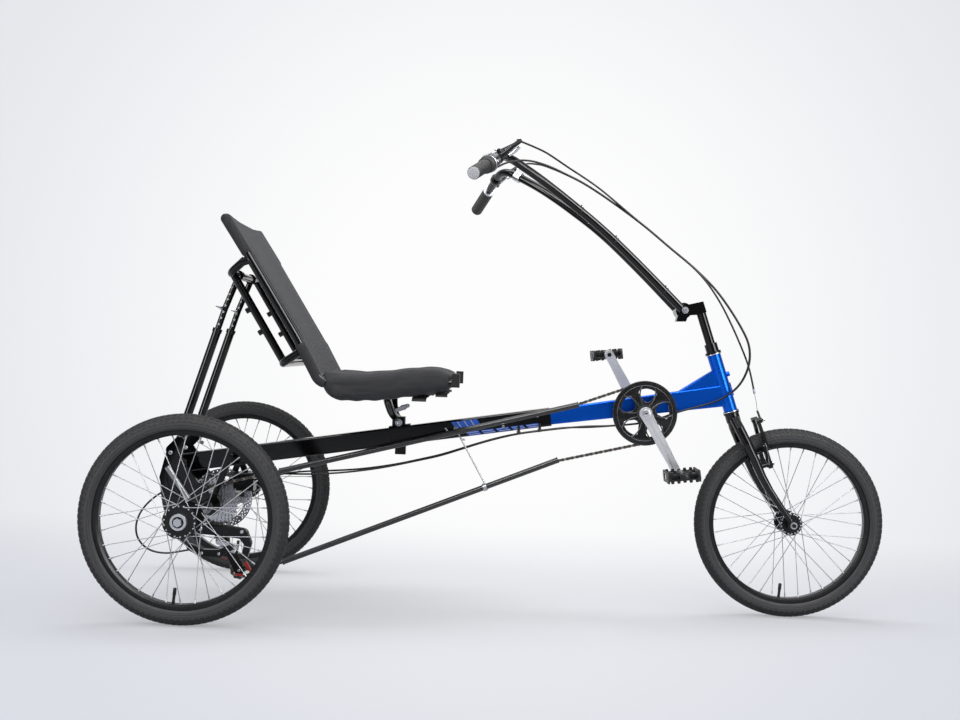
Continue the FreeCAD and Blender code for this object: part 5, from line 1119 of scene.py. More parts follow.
# Thin dark discs on the arms' inner faces at the pedal eyes and thin dark bars in the dust caps' recesses:
# painted shade standing in for the holes and the key slots.
painted_shade_in_slots_and_eyes = []
for arm_side in (-1, 1):
    painted_shade_in_slots_and_eyes.append(turned(rod(64, 65, 5.6), pedal_places[arm_side], (0, arm_side, 0), 28))
    place = facing(CRANK_AT + sideways(arm_side * 0.0776), (0, arm_side, 0),
                   (math.cos(0.35), 0, math.sin(0.35)))
    painted_shade_in_slots_and_eyes.append(set_at(place, slab(box(0.0042, 0.0011), -0.0003, 0.0001)))
shaped("dust cap slots", painted_shade_in_slots_and_eyes, satin_black, "crankset")


# ---------------------------------------------------------------- pedals
# Moulded black cage pedals: toothed end plates and cross plates around a barrel, with a pale
# reflector let into the front and rear plate.
pedal_plastic = finish("moulded black nylon", "121213", 0.36, tone=0.3, grain=5, shine=0.4)
reflector_pale = finish("pale reflector", "cfcac2", 0.25, coat=0.5, tone=0.1, grain=2, bump=0.05,
                        bump_grain=1.2)
PEDAL_TILT = math.radians(7.0)


def toothed_edge(half, base, tip, count):
    """Outline of a plate with square teeth on its upper and lower edges."""
    rows = []
    for sign in (1, -1):
        for k in range(count):
            centre = sign * (-half + (2 * half) * (k + 0.5) / count)
            wide = half / count
            lift = tip - 0.0012 * (abs(k - (count - 1) / 2) < 1)
            rows += [(centre - sign * wide * 0.62, sign * base), (centre - sign * wide * 0.40, sign * lift),
                     (centre + sign * wide * 0.40, sign * lift), (centre + sign * wide * 0.62, sign * base)]
        rows.append((sign * (half + 0.0015), sign * base * 0.6))
    return rows


def window(x0, x1, y0, y1, ease_r=0.0015):
    """Outline of a rectangular window with cut corners."""
    return [(x0 + ease_r, y0), (x1 - ease_r, y0), (x1, y0 + ease_r), (x1, y1 - ease_r), (x1 - ease_r, y1),
            (x0 + ease_r, y1), (x0, y1 - ease_r), (x0, y0 + ease_r)]


def pedal(name, side):
    centre = pedal_places[side]
    mid = centre + sideways(side * 0.149)
    tilt = Matrix.Translation(centre) @ Matrix.Rotation(-PEDAL_TILT, 4, "Y") @ Matrix.Translation(-centre)
    plates = [("end plate 104", centre + sideways(side * 0.1045), 0.005),
              ("end plate 193", centre + sideways(side * 0.1935), 0.005),
              ("cross plate rear", mid + Vector((-0.039, 0, 0)), 0.0048),
              ("cross plate front", mid + Vector((0.039, 0, 0)), 0.0048)]
    for word, spot, thick in plates:
        if word.startswith("end"):
            loops = [toothed_edge(0.0385, 0.0085, 0.0145, 5), window(-0.0340, -0.0120, -0.0052, 0.0052),
                     window(0.0120, 0.0340, -0.0052, 0.0052)]
            place = facing(spot, (0, -1, 0))
        else:
            loops = [toothed_edge(0.0440, 0.0095, 0.0145, 7), window(-0.0300, 0.0300, -0.0060, 0.0060)]
            place = facing(spot, (1, 0, 0), (0, 1, 0))
        flat_part(name + " " + word, loops, thick, 0.0007, tilt @ place, pedal_plastic, name)
    bars = [turned([(-46, 6.2), (-46, 10), (-40, 10.8), (36, 10.8), (46, 9.8), (47.5, 7.5), (47.5, 0)], mid,
                   (0, side, 0), 28)]
    for x in (-0.0240, 0.0240):
        for y in (-0.0225, 0.0225):
            block = slab(box(0.0185, 0.0035), -0.0075, 0.0075)
            bars.append(set_at(facing(mid + Vector((x, y, 0)), (0, 0, 1)), block))
    panes = []
    for x in (-0.0390, 0.0390):
        pane = slab(window(-0.0296, 0.0296, -0.0056, 0.0056), -0.0016, 0.0016)
        panes.append(set_at(tilt @ facing(mid + Vector((x, 0, 0)), (1, 0, 0), (0, 1, 0)), pane))
    shaped(name + " barrel", [set_at(tilt, gathered(*bars))], pedal_plastic, name, name)
    shaped(name + " reflectors", panes, reflector_pale, name)


pedal("pedal_right", -1)
pedal("pedal_left", 1)


# ---------------------------------------------------------------- fork and front brake
# Gloss black fork with a linear-pull brake: two arms on bosses behind the legs, joined at the top
# by the cable's bent guide, with a return spring on each and a long pad at the rim.
def capsule(a, b, radius_a, radius_b, low, high, place=None, edge=0.0008, sides=9):
    """Flat bar with round ends and eased edges between two (x, y) points, from low to high."""
    start, end = Vector(a), Vector(b)
    turn = math.atan2(end.y - start.y, end.x - start.x)
    outline = []
    for centre, radius, first in ((end, radius_b, turn - math.pi / 2),
                                  (start, radius_a, turn + math.pi / 2)):
        for step in range(sides + 1):
            angle = first + math.pi * step / sides
            outline.append((centre, radius, Vector((math.cos(angle), math.sin(angle)))))
    rows = []
    for level, inset in ((low, edge), (low + edge, 0), (high - edge, 0), (high, edge)):
        spots = [centre + out * (radius - inset) for centre, radius, out in outline]
        rows.append([(spot.x, spot.y, level) for spot in spots])
    shape = skinned(rows, ends=True)
    return shape if place is None else set_at(place, shape)


dress(gloss_black, "frame_black", "fork", "steering_post", "handlebars")
BRAKE_PIVOT = (50.7, 40, -159.4)
BRAKE_TOP = (60.7, 26, -45.4)
PAD_RADIUS = 0.2045
FRONT_AXLE = Vector((0.758, 0, AXLE_HEIGHT))
brake_bars, brake_bright, brake_pads = [], [], []
for side in (-1, 1):
    pivot = on_head(BRAKE_PIVOT[0], side * BRAKE_PIVOT[1], BRAKE_PIVOT[2])
    top = on_head(BRAKE_TOP[0], side * BRAKE_TOP[1], BRAKE_TOP[2])
    middle = pivot + (top - pivot) * 0.42 + sideways(side * 0.003)
    frame_here = facing(pivot, head_forward, (0, 1, 0))
    back = frame_here.inverted()
    low2, mid2, top2 = [(back @ p).xy for p in (pivot - head_up * 0.004, middle, top)]
    brake_bars += [capsule(low2, mid2, 0.0078, 0.0064, -0.0055, 0.0055, frame_here),
                   capsule(mid2, top2, 0.0064, 0.0052, 0.0015, 0.0105, frame_here)]
    brake_bars.append(turned(rod(-8.5, 7, 7.8, 1, 1), pivot, head_forward, 28))
    brake_bright.append(cap_screw(pivot + head_forward * 0.0068, head_forward, 5.2, 4.5))
    brake_bright.append(cap_screw(top + head_forward * 0.0102, head_forward, 3.8, 3.4))
    spring = [pivot + sideways(side * 0.0092) - head_forward * 0.004,
              pivot + sideways(side * 0.0098) + head_up * 0.02, middle + sideways(side * 0.0072),
              middle + sideways(side * 0.003) + head_up * 0.012]
    brake_bright.append(bead(spring, 0.0009, 6))
    pad_at = pivot + head_up * 0.022
    pad_at.y = 0
    out = (pad_at - FRONT_AXLE).normalized()
    pad_at = FRONT_AXLE + out * PAD_RADIUS
    along = out.cross(Vector((0, 1, 0)))
    bow = []
    for k in range(-6, 7):
        run = 0.026 * k / 6
        bow.append(pad_at + along * run - out * (PAD_RADIUS * (1 - math.cos(run / PAD_RADIUS))))
    for inward, high_side, made in ((0.0168, 0.0062, brake_pads), (0.0205, 0.0046, brake_bars)):
        made.append(bead([p + sideways(side * inward) for p in bow], high_side * 0.72, 8))
    brake_bars.append(turned([(0, 4.2), (13, 4.2), (13, 0)], pad_at + sideways(side * 0.021), (0, side, 0),
                             16))
    brake_bright.append(turned(rod(0, 5.2, 6.2, 0.7, 0.8), pad_at + sideways(side * 0.035), (0, side, 0),
                               6))
shaped("front brake arms", brake_bars, satin_black, "steering", "front_brake")
guide_low = on_head(66.0, 22.0, -45.4)
guide = [on_head(66.0, -26.0, -45.4), on_head(66.5, -15.0, -44.5), on_head(67.5, -6.0, -40.0),
         on_head(68.0, -3.0, -32.0), on_head(67.0, -3.0, -20.0)]
link_bar_ends = [on_head(66.7, side * 27.0, -44.0) for side in (-1, 1)]
brake_tops = [bead(halved(guide), 0.0030, 10), bead(link_bar_ends, 0.0036, 12)]
for side in (-1, 1):
    brake_tops.append(turned(rod(-10, 7, 7, 1, 1.2), on_head(60.7, side * 27.0, -44.0), head_forward, 24))
shaped("front brake link", brake_tops, satin_black, "steering")
# thin bright steel lines along the outer face of each fork leg
fork_leg_lines = []
LEG_LINE = ((11, 59.6, -92), (18, 61.4, -141), (23, 60.4, -184), (31, 59.2, -218), (39, 58.8, -246))
for side in (-1, 1):
    leg = [on_head(forward, side * y, up) for forward, y, up in LEG_LINE]
    fork_leg_lines.append(bead(halved(leg), 0.0009, 6))
shaped("fork pinstripes", fork_leg_lines, bright_steel, "steering")
brake_bright.append(bead([guide_low, on_head(66.0, -20.0, -45.4)], 0.0008, 6))
shaped("front brake bolts and springs", brake_bright, bright_steel, "steering")
shaped("front brake pads", brake_pads, black_plastic, "steering")
dress(bright_steel, "steel", "front_axle")
hub_ends = []
for side in (-1, 1):
    rim_side = FRONT_AXLE + sideways(side * 0.0562)
    hub_ends.append(turned([(0, 6), (0, 14.5), (1.2, 14.5), (2, 13.8), (2, 6)], rim_side, (0, side, 0), 40))
    nut_side = FRONT_AXLE + sideways(side * 0.0628)
    hub_ends.append(turned(rod(0, 7, 5.6, 0.8, 1), nut_side, (0, side, 0), 6))
shaped("front axle nuts", hub_ends, satin_black, "steering")


# ---------------------------------------------------------------- bars, grips and levers
# Swept-back bars with ribbed rubber grips, a pale cap on the right one, a twist shifter inboard of
# it, and a brake lever on each side with bright adjusters.
grip_rubber = finish("grip rubber", "161617", 0.55, tone=0.3, grain=5, bump=0.03, bump_grain=0.5)
pale_cap = finish("pale grey cap", "cfcfd0", 0.55, tone=0.03, grain=60)
dark_plastic = finish("glossy dark plastic", "151516", 0.3, tone=0.3, grain=7, coat=0.3)
GRIP_END = (-0.105, 0.359, 1.092)
GRIP_RUN = (-0.2747, 0.9019, -0.3334)


def on_grip(back, side):
    """Point on a grip's line, in metres in from its outer end."""
    end, run = Vector(GRIP_END), Vector(GRIP_RUN).normalized()
    point = end - run * back
    return Vector((point.x, side * point.y, point.z))


def inward(side):
    return (on_grip(0.1, side) - on_grip(0.0, side)).normalized()


def on_grip_line(outline, side, sides):
    """Turned shape on a grip's line, measured in from its outer end."""
    return turned(outline, on_grip(0, side), inward(side), sides)


def ribbed(length, pitch, low, high, cap):
    """Outline of a grip with rounded ribs and a domed end."""
    rows = [(-cap, 0.0), (-cap, low * 0.82), (-cap * 0.55, low * 0.96), (0.0, high)]
    for index in range(int((length - 6) / pitch)):
        start = 3 + index * pitch
        rows += [(start, low), (start + pitch * 0.25, high), (start + pitch * 0.65, high),
                 (start + pitch * 0.85, low)]
    rows += [(length - 2.5, high), (length, high - 0.6), (length, 11.2)]
    return rows


right_grip = on_grip_line(ribbed(92, 6.2, 14.6, 16.2, 3.6), -1, 40)
left_grip = on_grip_line(ribbed(124, 5, 15, 16.3, 4), 1, 40)
shaped("ribbed grips", [right_grip, left_grip], grip_rubber, "steering", "grips", sharp=50)
shaped("right grip cap", [on_grip_line([(-4.5, 0), (-4.5, 12.8), (-3.8, 14), (-2.6, 14.6), (-2, 12)], -1,
                                       48)], pale_cap, "steering")
shaped("left grip ring", [on_grip_line([(124.3, 11.2), (124.3, 16.2), (125.2, 17), (129, 17), (130, 16.2),
                                        (130, 11.2)], 1, 48)], silver_alloy, "steering",
       "bar_end_ring")
shifter = [on_grip_line([(93.5, 11.5), (93.5, 19), (95, 20.5), (96.5, 19.4), (98.5, 20.6), (100.5, 19.4),
                         (102.5, 20.8), (104.5, 19.6), (106.5, 21), (108.5, 19.8), (110.5, 21.2),
                         (112.5, 20), (115, 21.2), (116.5, 20)], -1, 44)]
shaped("shifter twist sleeve", shifter, grip_rubber, "steering", sharp=50)
shaped("shifter ring", [on_grip_line([(116.5, 19.6), (116.5, 21.6), (117.2, 22.2), (118.4, 22.2),
                                      (119, 21.6), (119, 19.6)], -1, 56)], bright_steel, "steering")
housing = on_grip_line([(119, 11.2), (119, 21.8), (120.5, 22.9), (129, 22.9), (131, 22.2), (150, 20.5),
                        (168, 17.8), (182, 15.2), (185, 13.8), (185, 11.2)], -1, 44)
shaped("shifter housing", [housing], dark_plastic, "steering", "twist_shifter")
shift_up = Vector((-0.35, -0.35, 0.87))
shift_up = (shift_up - inward(-1) * shift_up.dot(inward(-1))).normalized()
dial = facing(on_grip(0.136, -1) + shift_up * 0.0205, shift_up, inward(-1))
shaped("shifter dial", [capsule((-0.01, 0), (0.01, 0), 0.0082, 0.007, -0.004, 0.003, dial, 0.001)],
       pale_cap, "steering")
shift_bolts = [cap_screw(on_grip(0.128, -1) + shift_up.cross(inward(-1)) * (0.0222 * turn_side),
                         shift_up.cross(inward(-1)) * turn_side, 3, 1.6) for turn_side in (-1, 1)]

LEVER_AHEAD = {-1: (0.77, 0.0, 0.64), 1: (0.85, 0.0, 0.53)}
lever_black, lever_bright = [], []
for side in (-1, 1):
    ahead = Vector(LEVER_AHEAD[side]).normalized()
    middle = on_grip(0.196, side)
    knuckle = middle + ahead * 0.071
    tip = Vector((-0.048, side * 0.290, 1.157))
    below = ahead.cross(inward(side)).normalized()
    below = below if below.z < 0 else -below
    lever_black.append(on_grip_line([(188, 11.2), (188, 15), (189.2, 15.8), (202.8, 15.8), (204, 15),
                                     (204, 11.2)], side, 40))
    lever_black.append(turned([(11, 8.2), (28, 7.4), (50, 5.8), (71, 6.2), (76, 4), (77.5, 0)], middle,
                              ahead, 24))
    blade = []
    for step in range(13):
        share = step / 12
        bow = math.sin(math.pi * share) * 0.006
        blade.append((knuckle + (tip - knuckle) * share - ahead * bow * 0.4, below))
    lever_black.append(webbing(blade, 0.0105, 0.0040))
    lever_black.append(turned([(0, 0), (0, 6.2), (4, 6.6), (6, 5.2), (6, 0)],
                              tip - (tip - knuckle).normalized() * 0.004, tip - knuckle, 20))
    lever_bright.append(turned([(0, 0), (0, 4.4), (10, 4.4), (10.8, 5.2), (24, 5.2), (24.8, 4), (34, 4),
                                (34, 0)], middle + ahead * 0.028 + below * 0.0118, ahead, 20))
    lever_bright.append(cap_screw(knuckle - below * 0.0066, -below, 4.2, 2.4))
    lever_bright.append(turned([(0, 0), (0, 2.2), (14, 1.8), (16, 3.2), (19, 3.2), (20.5, 0)],
                               middle + ahead * 0.014 - below * 0.003,
                               (-below if side < 0 else below) - ahead * 0.25, 14))
shaped("lever bodies", lever_black, satin_black, "steering", "brake_levers")
shaped("lever blades and adjusters", lever_bright + shift_bolts, silver_alloy, "steering",
       sharp=40)
BAR_MARKS = ((450, 38, 803), (345.7, 34, 904.5), (234.7, 34, 1005.5), (122.6, 56, 1086.9),
             (61.7, 76, 1127.1), (-33, 122.6, 1179.4))


def on_bar(index, share, side):
    """Point and direction on a bar between two of its bends."""
    a, b = [Vector((x, side * y, z)) / 1000 for x, y, z in BAR_MARKS[index:index + 2]]
    return a + (b - a) * share, (b - a).normalized()


band_at, band_run = on_bar(4, 0.56, 1)
bar_bright = [turned([(-10, 11.2), (-10, 14.2), (-9.2, 14.9), (9.2, 14.9), (10, 14.2), (10, 11.2)], band_at,
                     band_run, 36)]
bar_bright.append(turned(rod(0, 12, 3.4), band_at + Vector((0, 0, 0.012)), (-0.3, 0, 0.95), 12))
for index, share in ((1, 0.42), (1, -0.05), (2, 0.30)):
    spot, run = on_bar(index, share, 1)
    bar_bright.append(cap_screw(spot + sideways(-0.0105), (0, -1, 0), 3.2, 1.8))
shaped("bar clamp band and bolts", bar_bright, silver_alloy, "steering")
ties = []
for index, share, side in ((1, 0.70, -1), (0, 0.45, -1), (2, 0.55, -1)):
    spot, run = on_bar(index, share, side)
    ties.append(turned([(-1.9, 11), (-1.9, 12.2), (1.9, 12.2), (1.9, 11)], spot, run, 30))
    ties.append(turned(rod(0, 5, 2.4), spot + Vector((0, 0, 0.0118)), (0.5, 0, 0.85), 4))
shaped("cable ties", ties, black_plastic, "steering")
post_bits = []
for side in (-1, 1):
    post_bits.append(turned([(0, 0), (0, 8.6), (1.5, 9.2), (3.2, 8.6), (3.2, 0)],
                            (0.456, side * 0.0478, 0.801), (0, side, 0), 36))
    post_bits.append(cap_screw((0.456, side * 0.0508, 0.801), (0, side, 0), 4.8, 3.6))
shaped("bar pivot bolts", post_bits, dull_steel, "steering")


# ---------------------------------------------------------------- cables
# Black cable housings. The shift and rear brake cables loop from the bars down in front of the
# head, loose enough to turn with it, and run back under the main tube to the rear end.
cable_black = finish("cable housing", "080809", 0.36, tone=0.3, grain=8, shine=0.3)
CABLE_R = 0.0025


def smooth_route(route):
    """Evenly stepped points of the smooth line that a few route points steer."""
    curve = bpy.data.curves.new("route", "CURVE")
    curve.dimensions = "3D"
    curve.resolution_u = 10
    spline = curve.splines.new("NURBS")
    spline.points.add(len(route) - 1)
    for point, place in zip(spline.points, route):
        point.co = (*place, 1.0)
    spline.order_u = 3
    spline.use_endpoint_u = True
    holder = bpy.data.objects.new("route", curve)
    bpy.context.scene.collection.objects.link(holder)
    data = evaluated(holder)
    line = [v.co.copy() for v in data.vertices]
    bpy.data.objects.remove(holder)
    bpy.data.meshes.remove(data)
    return line


def ahead_of(points, y=0.0):
    """Route points measured from the front axle, in metres on the trike."""
    return [at(758.0 + x, y + side, z) for x, side, z in points]


BUNDLE = ((-539.4, -76, 844.4), (-489.5, -57, 816), (-443.3, -52, 785.7), (-396.9, -47, 752.7),
          (-344.6, -41, 712), (-292.4, -36, 673.7), (-256.5, -33, 643.7), (-217.7, -30, 607.2),
          (-178.5, -28, 557.4), (-144.7, -27, 506), (-127, -27, 471), (-122, -27.5, 435.6),
          (-127.5, -27.5, 400), (-144.5, -28, 363.6), (-170, -28.5, 337), (-206, -26.5, 315.5))
SHIFTER_LEAD = ((-805.6, -224.3, 879.9), (-787.3, -165.8, 901.6), (-736, -148, 913), (-683, -134, 904),
                (-627.1, -108, 884.2), (-586.1, -94, 868.3))
LEFT_LEVER_LEAD = ((-748, 182, 945), (-732, 122, 944), (-726.7, 60, 937), (-705.6, 20, 929.9),
                   (-686.5, -20, 920.7), (-658, -60, 904.1), (-624, -80, 887), (-586.1, -88.4, 868.3))
SHIFT_REAR = ((509.4, -24.5, 301.2), (449.3, -24.5, 283), (404.5, -24.5, 264), (360, -24.5, 250.5),
              (315, -24, 244), (262, -24, 239), (210, -24, 236.5), (160, -24, 230.5), (98, -24, 221),
              (37, -24, 211), (-15.3, -24, 197.8), (-67.5, -24, 181.3), (-119.7, -25, 162.6),
              (-172, -26, 144), (-224, -28, 131.2), (-276, -28, 118), (-328.5, -28, 106.1), (-380, -28, 97),
              (-433, -28, 89.5), (-486, -28, 84.5), (-538.5, -28, 82), (-591.7, -26, 81.3),
              (-655, -25, 79.5), (-718, -25, 75), (-780, -25.5, 66), (-838, -26, 50), (-893, -27, 27),
              (-938, -29, -8), (-964, -32, -52), (-962, -36, -98), (-930, -41, -130), (-884, -46, -138),
              (-842, -50, -130), (-804, -53, -121))
BRAKE_REAR = ((509.4, -18.9, 301.2), (449.3, -18.9, 283), (404.5, -18.9, 264), (360, -18.9, 250.5),
              (315, -18.4, 244), (262, -18.4, 238), (210, -18.4, 233), (157, -18.2, 231),
              (104.4, -18, 222.5), (64, -18, 216), (22, -18, 208), (-26.3, -18, 195.5), (-70, -18, 181.5),
              (-112.5, -18, 166.5), (-168, -18.5, 147), (-224.5, -20, 132.5), (-276, -20.5, 119.5),
              (-329.3, -21, 109), (-380, -20.5, 101), (-433, -16, 95), (-486, -7, 90.5), (-535, 7, 86),
              (-585, 27, 77), (-636, 46, 62), (-684, 54, 50))
FRONT_BRAKE = ((-750, -184, 951), (-696.9, -152, 938.2), (-662.5, -128, 922.5), (-624.2, -104, 902.9),
               (-586.1, -86, 884.2), (-539.3, -68, 858), (-490.5, -63, 821), (-444.3, -59.5, 785),
               (-398, -54.5, 752), (-346, -49, 711), (-294, -44, 672.5), (-259, -41, 641),
               (-230.7, -34, 608.4), (-202, -24, 569), (-177.2, -15, 527.5), (-152.4, -10, 480.1),
               (-126.9, -10, 423.9), (-113.7, -10, 382.6), (-104, -7, 341))
shift_route = ahead_of(SHIFTER_LEAD + BUNDLE) + [at(*p) for p in SHIFT_REAR]
brake_route = ahead_of(LEFT_LEVER_LEAD) + ahead_of(BUNDLE, 5.6) + [at(*p) for p in BRAKE_REAR]
loop_lines = [bead(smooth_route(route), CABLE_R, 10) for route in (shift_route, brake_route)]
loops = shaped("shift and rear brake cables", loop_lines, cable_black)
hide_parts("steering_loop_cables", "frame_cables")
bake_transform(loops)
front_line = smooth_route(ahead_of(FRONT_BRAKE))
shaped("front brake cable", [bead(front_line, CABLE_R, 10)], cable_black, "steering",
       "front_brake_cable")
bare = [front_line[-1], (front_line[-1] + guide[-1]) / 2 + Vector((0.001, 0, 0)), guide[-1]]
ferrule = (front_line[-2] - front_line[-1]).normalized()
wire_bits = [bead(bare, 0.0009, 6), turned([(-3, 0), (-3, 2.6), (0, 3.2), (10, 3.2), (10, 0)],
                                           front_line[-1], ferrule, 16)]
shaped("front brake wire", wire_bits, bright_steel, "steering")


# ---------------------------------------------------------------- small fittings on the frame
# Cable clips and guides, the seat clamp's lug with its bolt and quick lever, strut fittings, the
# stays and screws of the rear frame, and slanted blue and white stripes on the tube's side.
stripe_blue = finish("blue stripe", "2a6ade", 0.35, tone=0.05, grain=10)
stripe_white = finish("white stripe", "e6e8ee", 0.4, tone=0.02, grain=10)
stay_grey = finish("light grey stay", "8e8f91", 0.3, metal=0.3, tone=0.1, grain=9)
TUBE_SLOPE = math.tan(math.radians(9.3))


def tube_side(x, low, high, lean, width, proud=0.25):
    """Slanted patch on the tube's right side: x at its foot, low and high from the tube's middle."""
    rows = []
    for level, shift in ((low, 0.0), (high, lean)):
        marks = [x + shift + step for step in (0.0, width)]
        rows.append([Vector((mark, -19.0 - proud, 447.2 + (mark + 250) * TUBE_SLOPE + level)) / 1000
                     for mark in marks])
    return skinned(rows, ring=False)


blue_patches = [tube_side(-135.0 + 17.5 * k, 2.0, 19.0, -11.0, 15.0) for k in range(4)]
white_patches = [tube_side(-119.8 + 17.5 * k, 2.0, 19.0, -11.0, 2.0) for k in range(3)]
white_patches += [tube_side(-157.0, -3.0, 6.0, -6.0, 4.0), tube_side(70.0, 4.0, 13.0, 13.0, 14.0)]
for k in range(5):
    blue_patches.append(tube_side(-98.0 + 39.0 * k, -22.5, -12.0, -8.0, 33.0))
    white_patches.append(tube_side(-96.0 + 39.0 * k, -20.6, -19.4, -1.0, 29.0, 0.4))
    white_patches.append(tube_side(-102.5 + 39.0 * k, -15.4, -14.2, -1.0, 29.0, 0.4))
shaped("blue stripes", blue_patches, stripe_blue, "frame")
shaped("white stripes", white_patches, stripe_white, "frame")

clips = []
for clip_x, clip_z in ((33.2, 466.3), (88.3, 474.4)):
    clips.append(turned([(-5, 0), (-5, 4.4), (-4.2, 5), (4.2, 5), (5, 4.4), (5, 0)],
                        Vector((clip_x, -21.5, clip_z - 3)) / 1000, (1, 0, 0.2), 20))
    clips.append(capsule((0, 0), (0, 0.012), 0.0032, 0.0032, 0.0, 0.003,
                         facing(Vector((clip_x, -19.0, clip_z)) / 1000, (0, -1, 0))))
shaped("cable clips", clips, black_plastic, "frame")
fits = [cap_screw((-0.1123, 0, 0.4398), (0, 0, -1), 5.2, 5)]
lug_at = Vector((-0.2844, -0.0225, 0.4775))
hex_head = [(0, 0), (0, 6.2), (4, 6.2), (4.6, 5.6), (4.6, 3.6), (3, 3), (3, 0)]
fits.append(turned(hex_head, lug_at, (0, -1, 0), 6))
fits.append(turned(rod(-1, 1, 9.8, 0.7, 0.6), lug_at, (0, -1, 0), 32))
lever_place = facing(Vector((-0.2961, -0.045, 0.5085)), (0, -1, 0), (0.93, 0, 0.37))
fits.append(capsule((0, 0), (0.030, 0.0), 0.0048, 0.0066, -0.004, 0.006, lever_place, 0.0012))
fits.append(capsule((0.024, 0.001), (0.039, 0.001), 0.0066, 0.0052, -0.002, 0.004, lever_place, 0.0012))
for y, lever_x, lever_z in ((-80, -756.4, 759.6), (80, -752.1, 755.0)):
    spot = Vector((lever_x + 9, y - 9, lever_z)) / 1000
    fits.append(turned(rod(-4, 7, 4.8, 1, 1), spot, (0, -1, 0), 20))
    fits.append(capsule((0, 0), (-0.012, 0.004), 0.003, 0.002, 0.005, 0.008, facing(spot, (0, -1, 0)),
                        0.0008))
liners, collars = [], []
for y in (-0.080, 0.080):
    start, end = Vector((-0.757, y, 0.706)), Vector((-0.741, y, 0.757))
    run = (end - start).normalized()
    for share in (0.14, 0.34, 0.54, 0.74, 0.94, 1.10, 1.32):
        hole = start + run * (0.0856 * share)
        liners.append(turned([(0, 3), (0.8, 2.6), (1, 0)], hole + sideways(-0.0078), (0, -1, 0), 16))
    collars.append(turned([(-6, 8.1), (-6, 12.4), (4, 12.8), (5, 8.1)], start - run * 0.004, run, 32))
shaped("strut hole liners", liners, pale_cap, "frame")
shaped("strut collars", collars, gloss_black, "frame")
guide_clip = Vector((-8.5, -48.0, 483.0)) / 1000
for place in (Vector((-0.0505, -0.048, 0.3195)), guide_clip):
    fits.append(cap_screw(place + Vector((0, -0.0075, -0.004)), (0, -1, 0), 4, 3))
shaped("bolts and quick levers", fits, bright_steel, "frame", sharp=40)
lug_body = [turned([(-10, 0), (-10, 12.8), (-1.2, 13.2), (0, 12.4), (0, 0)], lug_at, (0, -1, 0), 40)]
arm_line = smooth_route([(-0.3085, -0.203, 0.566), (-0.312, -0.16, 0.561), (-0.31, -0.12, 0.547),
                         (-0.307, -0.08, 0.523), (-0.299, -0.04, 0.496), (-0.29, -0.012, 0.487)])
lug_body.append(bead(arm_line, 0.0105, 20))
lug_body.append(bead([(p.x, -p.y, p.z) for p in arm_line], 0.0105, 20))
lug_body.append(turned([(-4, 6.2), (-4, 9.6), (4, 9.6), (4, 6.2)], guide_clip, (0.967, 0, 0.254), 28))
shaped("seat bracket arms", lug_body, gloss_black, "frame", "seat_bracket")
stubs = []
for side in (-1, 1):
    foot, rail = Vector((-0.6765, side * 0.2052, 0.8710)), Vector((-0.6500, side * 0.2060, 0.8805))
    length = (rail - foot).length * 1000
    stubs.append(turned(rod(0, length - 6, 10.2), foot, rail - foot, 28))
    stubs.append(weld_bead(rail - (rail - foot).normalized() * 0.0075, rail - foot, 10, 2.2))
shaped("brace ends at the rails", stubs, gloss_black, "frame")
# the two stays are drawn light grey, unlike the gloss black tubes around them
stays = [turned(rod(0, 98.8, 7.6), at(-871.5, -91.0, 94.7), Vector((56.7, 0, -79.5)), 28)]
shaped("grey stays", stays, stay_grey, "frame")


# ---------------------------------------------------------------- rear brake disc and gear mechanism
# Perforated steel brake disc on the left wheel's shaft, and a black long-cage gear mechanism with
# a bright parallelogram link, two guide pulleys and red spring covers.
AXLE_AT = at(-758.0, 0.0, 0.0)
disc_loops = [circle(0.0800, 96)]
# window between two arms of the disc: radius in metres and turn from the arm
DISC_WINDOW = ((0.026, 0.18), (0.040, 0.16), (0.0585, 0.10), (0.0600, 0.45), (0.0590, 0.80), (0.042, 0.80),
               (0.027, 0.80), (0.024, 0.48))
for arm in range(6):
    base = 2 * math.pi * arm / 6
    marks = [(r * math.cos(base + swing), r * math.sin(base + swing)) for r, swing in DISC_WINDOW]
    disc_loops.append([tuple(p) for p in through(marks, 4)])
for ring_r, count, offset in ((0.0752, 42, 0.0), (0.0705, 42, 0.5), (0.0658, 42, 0.0)):
    for index in range(count):
        turn = 2 * math.pi * (index + offset) / count
        if ring_r != 0.0705 or index % 3:
            disc_loops.append(circle(0.0018, 8, ring_r * math.cos(turn), ring_r * math.sin(turn)))
disc_place = facing(AXLE_AT + sideways(0.055), (0, -1, 0))
flat_part("perforated brake disc", disc_loops, 0.0019, 0.0002, disc_place, bright_steel, "rear_wheel_left",
          "brake_rotor")

red_cover = finish("red spring cover", "b01818", 0.35, coat=0.4, tone=0.1, grain=5)
SIDE_ON = facing(Vector((0, 0, 0)), (0, -1, 0))


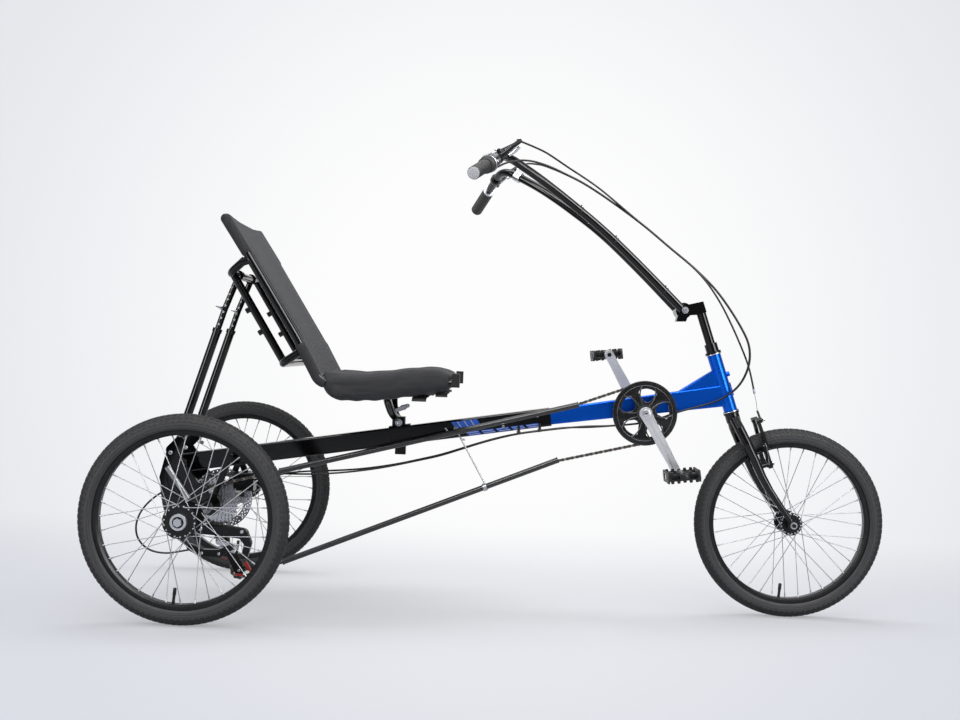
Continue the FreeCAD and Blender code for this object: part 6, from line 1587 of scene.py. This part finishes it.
def link_bar(points, radii, y_in, y_out, edge=0.0014):
    """Chain of round-ended bars through (x, z) points in millimetres from the rear axle."""
    shapes = []
    flat = [((x - 758.0) / 1000, (z + 250.0) / 1000) for x, z in points]
    for order, (a, b, ra, rb) in enumerate(zip(flat, flat[1:], radii, radii[1:])):
        step = 0.15 * order
        shapes.append(capsule(a, b, ra / 1000, rb / 1000, (y_in + step) / 1000, (y_out - step) / 1000,
                              SIDE_ON, edge))
    return gathered(*shapes)


CAGE = ((21, -87), (46, -122), (74, -172))
BODY_LINE = ((-26, -66), (40, -68), (84, -74), (98, -98), (92, -130))
LINK_LINE = ((-52, -114), (-20, -128), (24, -128), (52, -112))
# each bar: its points, their radii, its inner and outer face, and its edge
MECH_BARS = ((BODY_LINE, (12, 14, 14, 10, 8), 57, 77, 0.0024),
             (LINK_LINE, (9, 10, 10, 8), 57, 74, 0.002),
             (CAGE, (11, 10, 13), 53.5, 56, 0.0006),
             (CAGE, (11, 10, 13), 40, 42.5, 0.0006))
mech_black = [link_bar(*bar) for bar in MECH_BARS]
pulley = slab(toothed(11, 0.0165, -0.0022, 0.0014), -0.0016, 0.0016)
for x, z in (CAGE[0], CAGE[2]):
    spot = AXLE_AT + Vector((x, -48, z)) / 1000
    mech_black.append(set_at(facing(spot, (0, -1, 0)), pulley))
    mech_black.append(turned(rod(-7.5, 7.5, 6.2), spot, (0, -1, 0), 24))
shaped("gear mechanism", mech_black, satin_black, "frame", "rear_derailleur")
mech_bright = [link_bar(((19, -99), (66, -112)), (6.5, 6.0), 60, 66, 0.0012),
               link_bar(((24, -112), (62, -122)), (4.0, 4.0), 64, 69, 0.0012)]
for x, z, y, r in ((-26, -64, -77, 5.5), (82, -68, -77, 4.6), (21, -87, -56.2, 4.0), (74, -172, -56.2, 4.0),
                   (-20, -128, -74, 3.6), (24, -128, -74, 3.6)):
    mech_bright.append(cap_screw(AXLE_AT + Vector((x, y, z)) / 1000, (0, -1, 0), r, 2.2))
shaped("gear mechanism links", mech_bright, bright_steel, "frame")
covers = [link_bar(((30, -140), (40, -143)), (1.8, 1.4), 56, 60, 0.0005),
          link_bar(((92, -152), (104, -170)), (5.0, 4.0), 57, 61, 0.001),
          link_bar(((66, -182), (84, -184)), (2.4, 3.2), 56.5, 60, 0.0008)]
shaped("red spring covers", covers, red_cover, "frame")
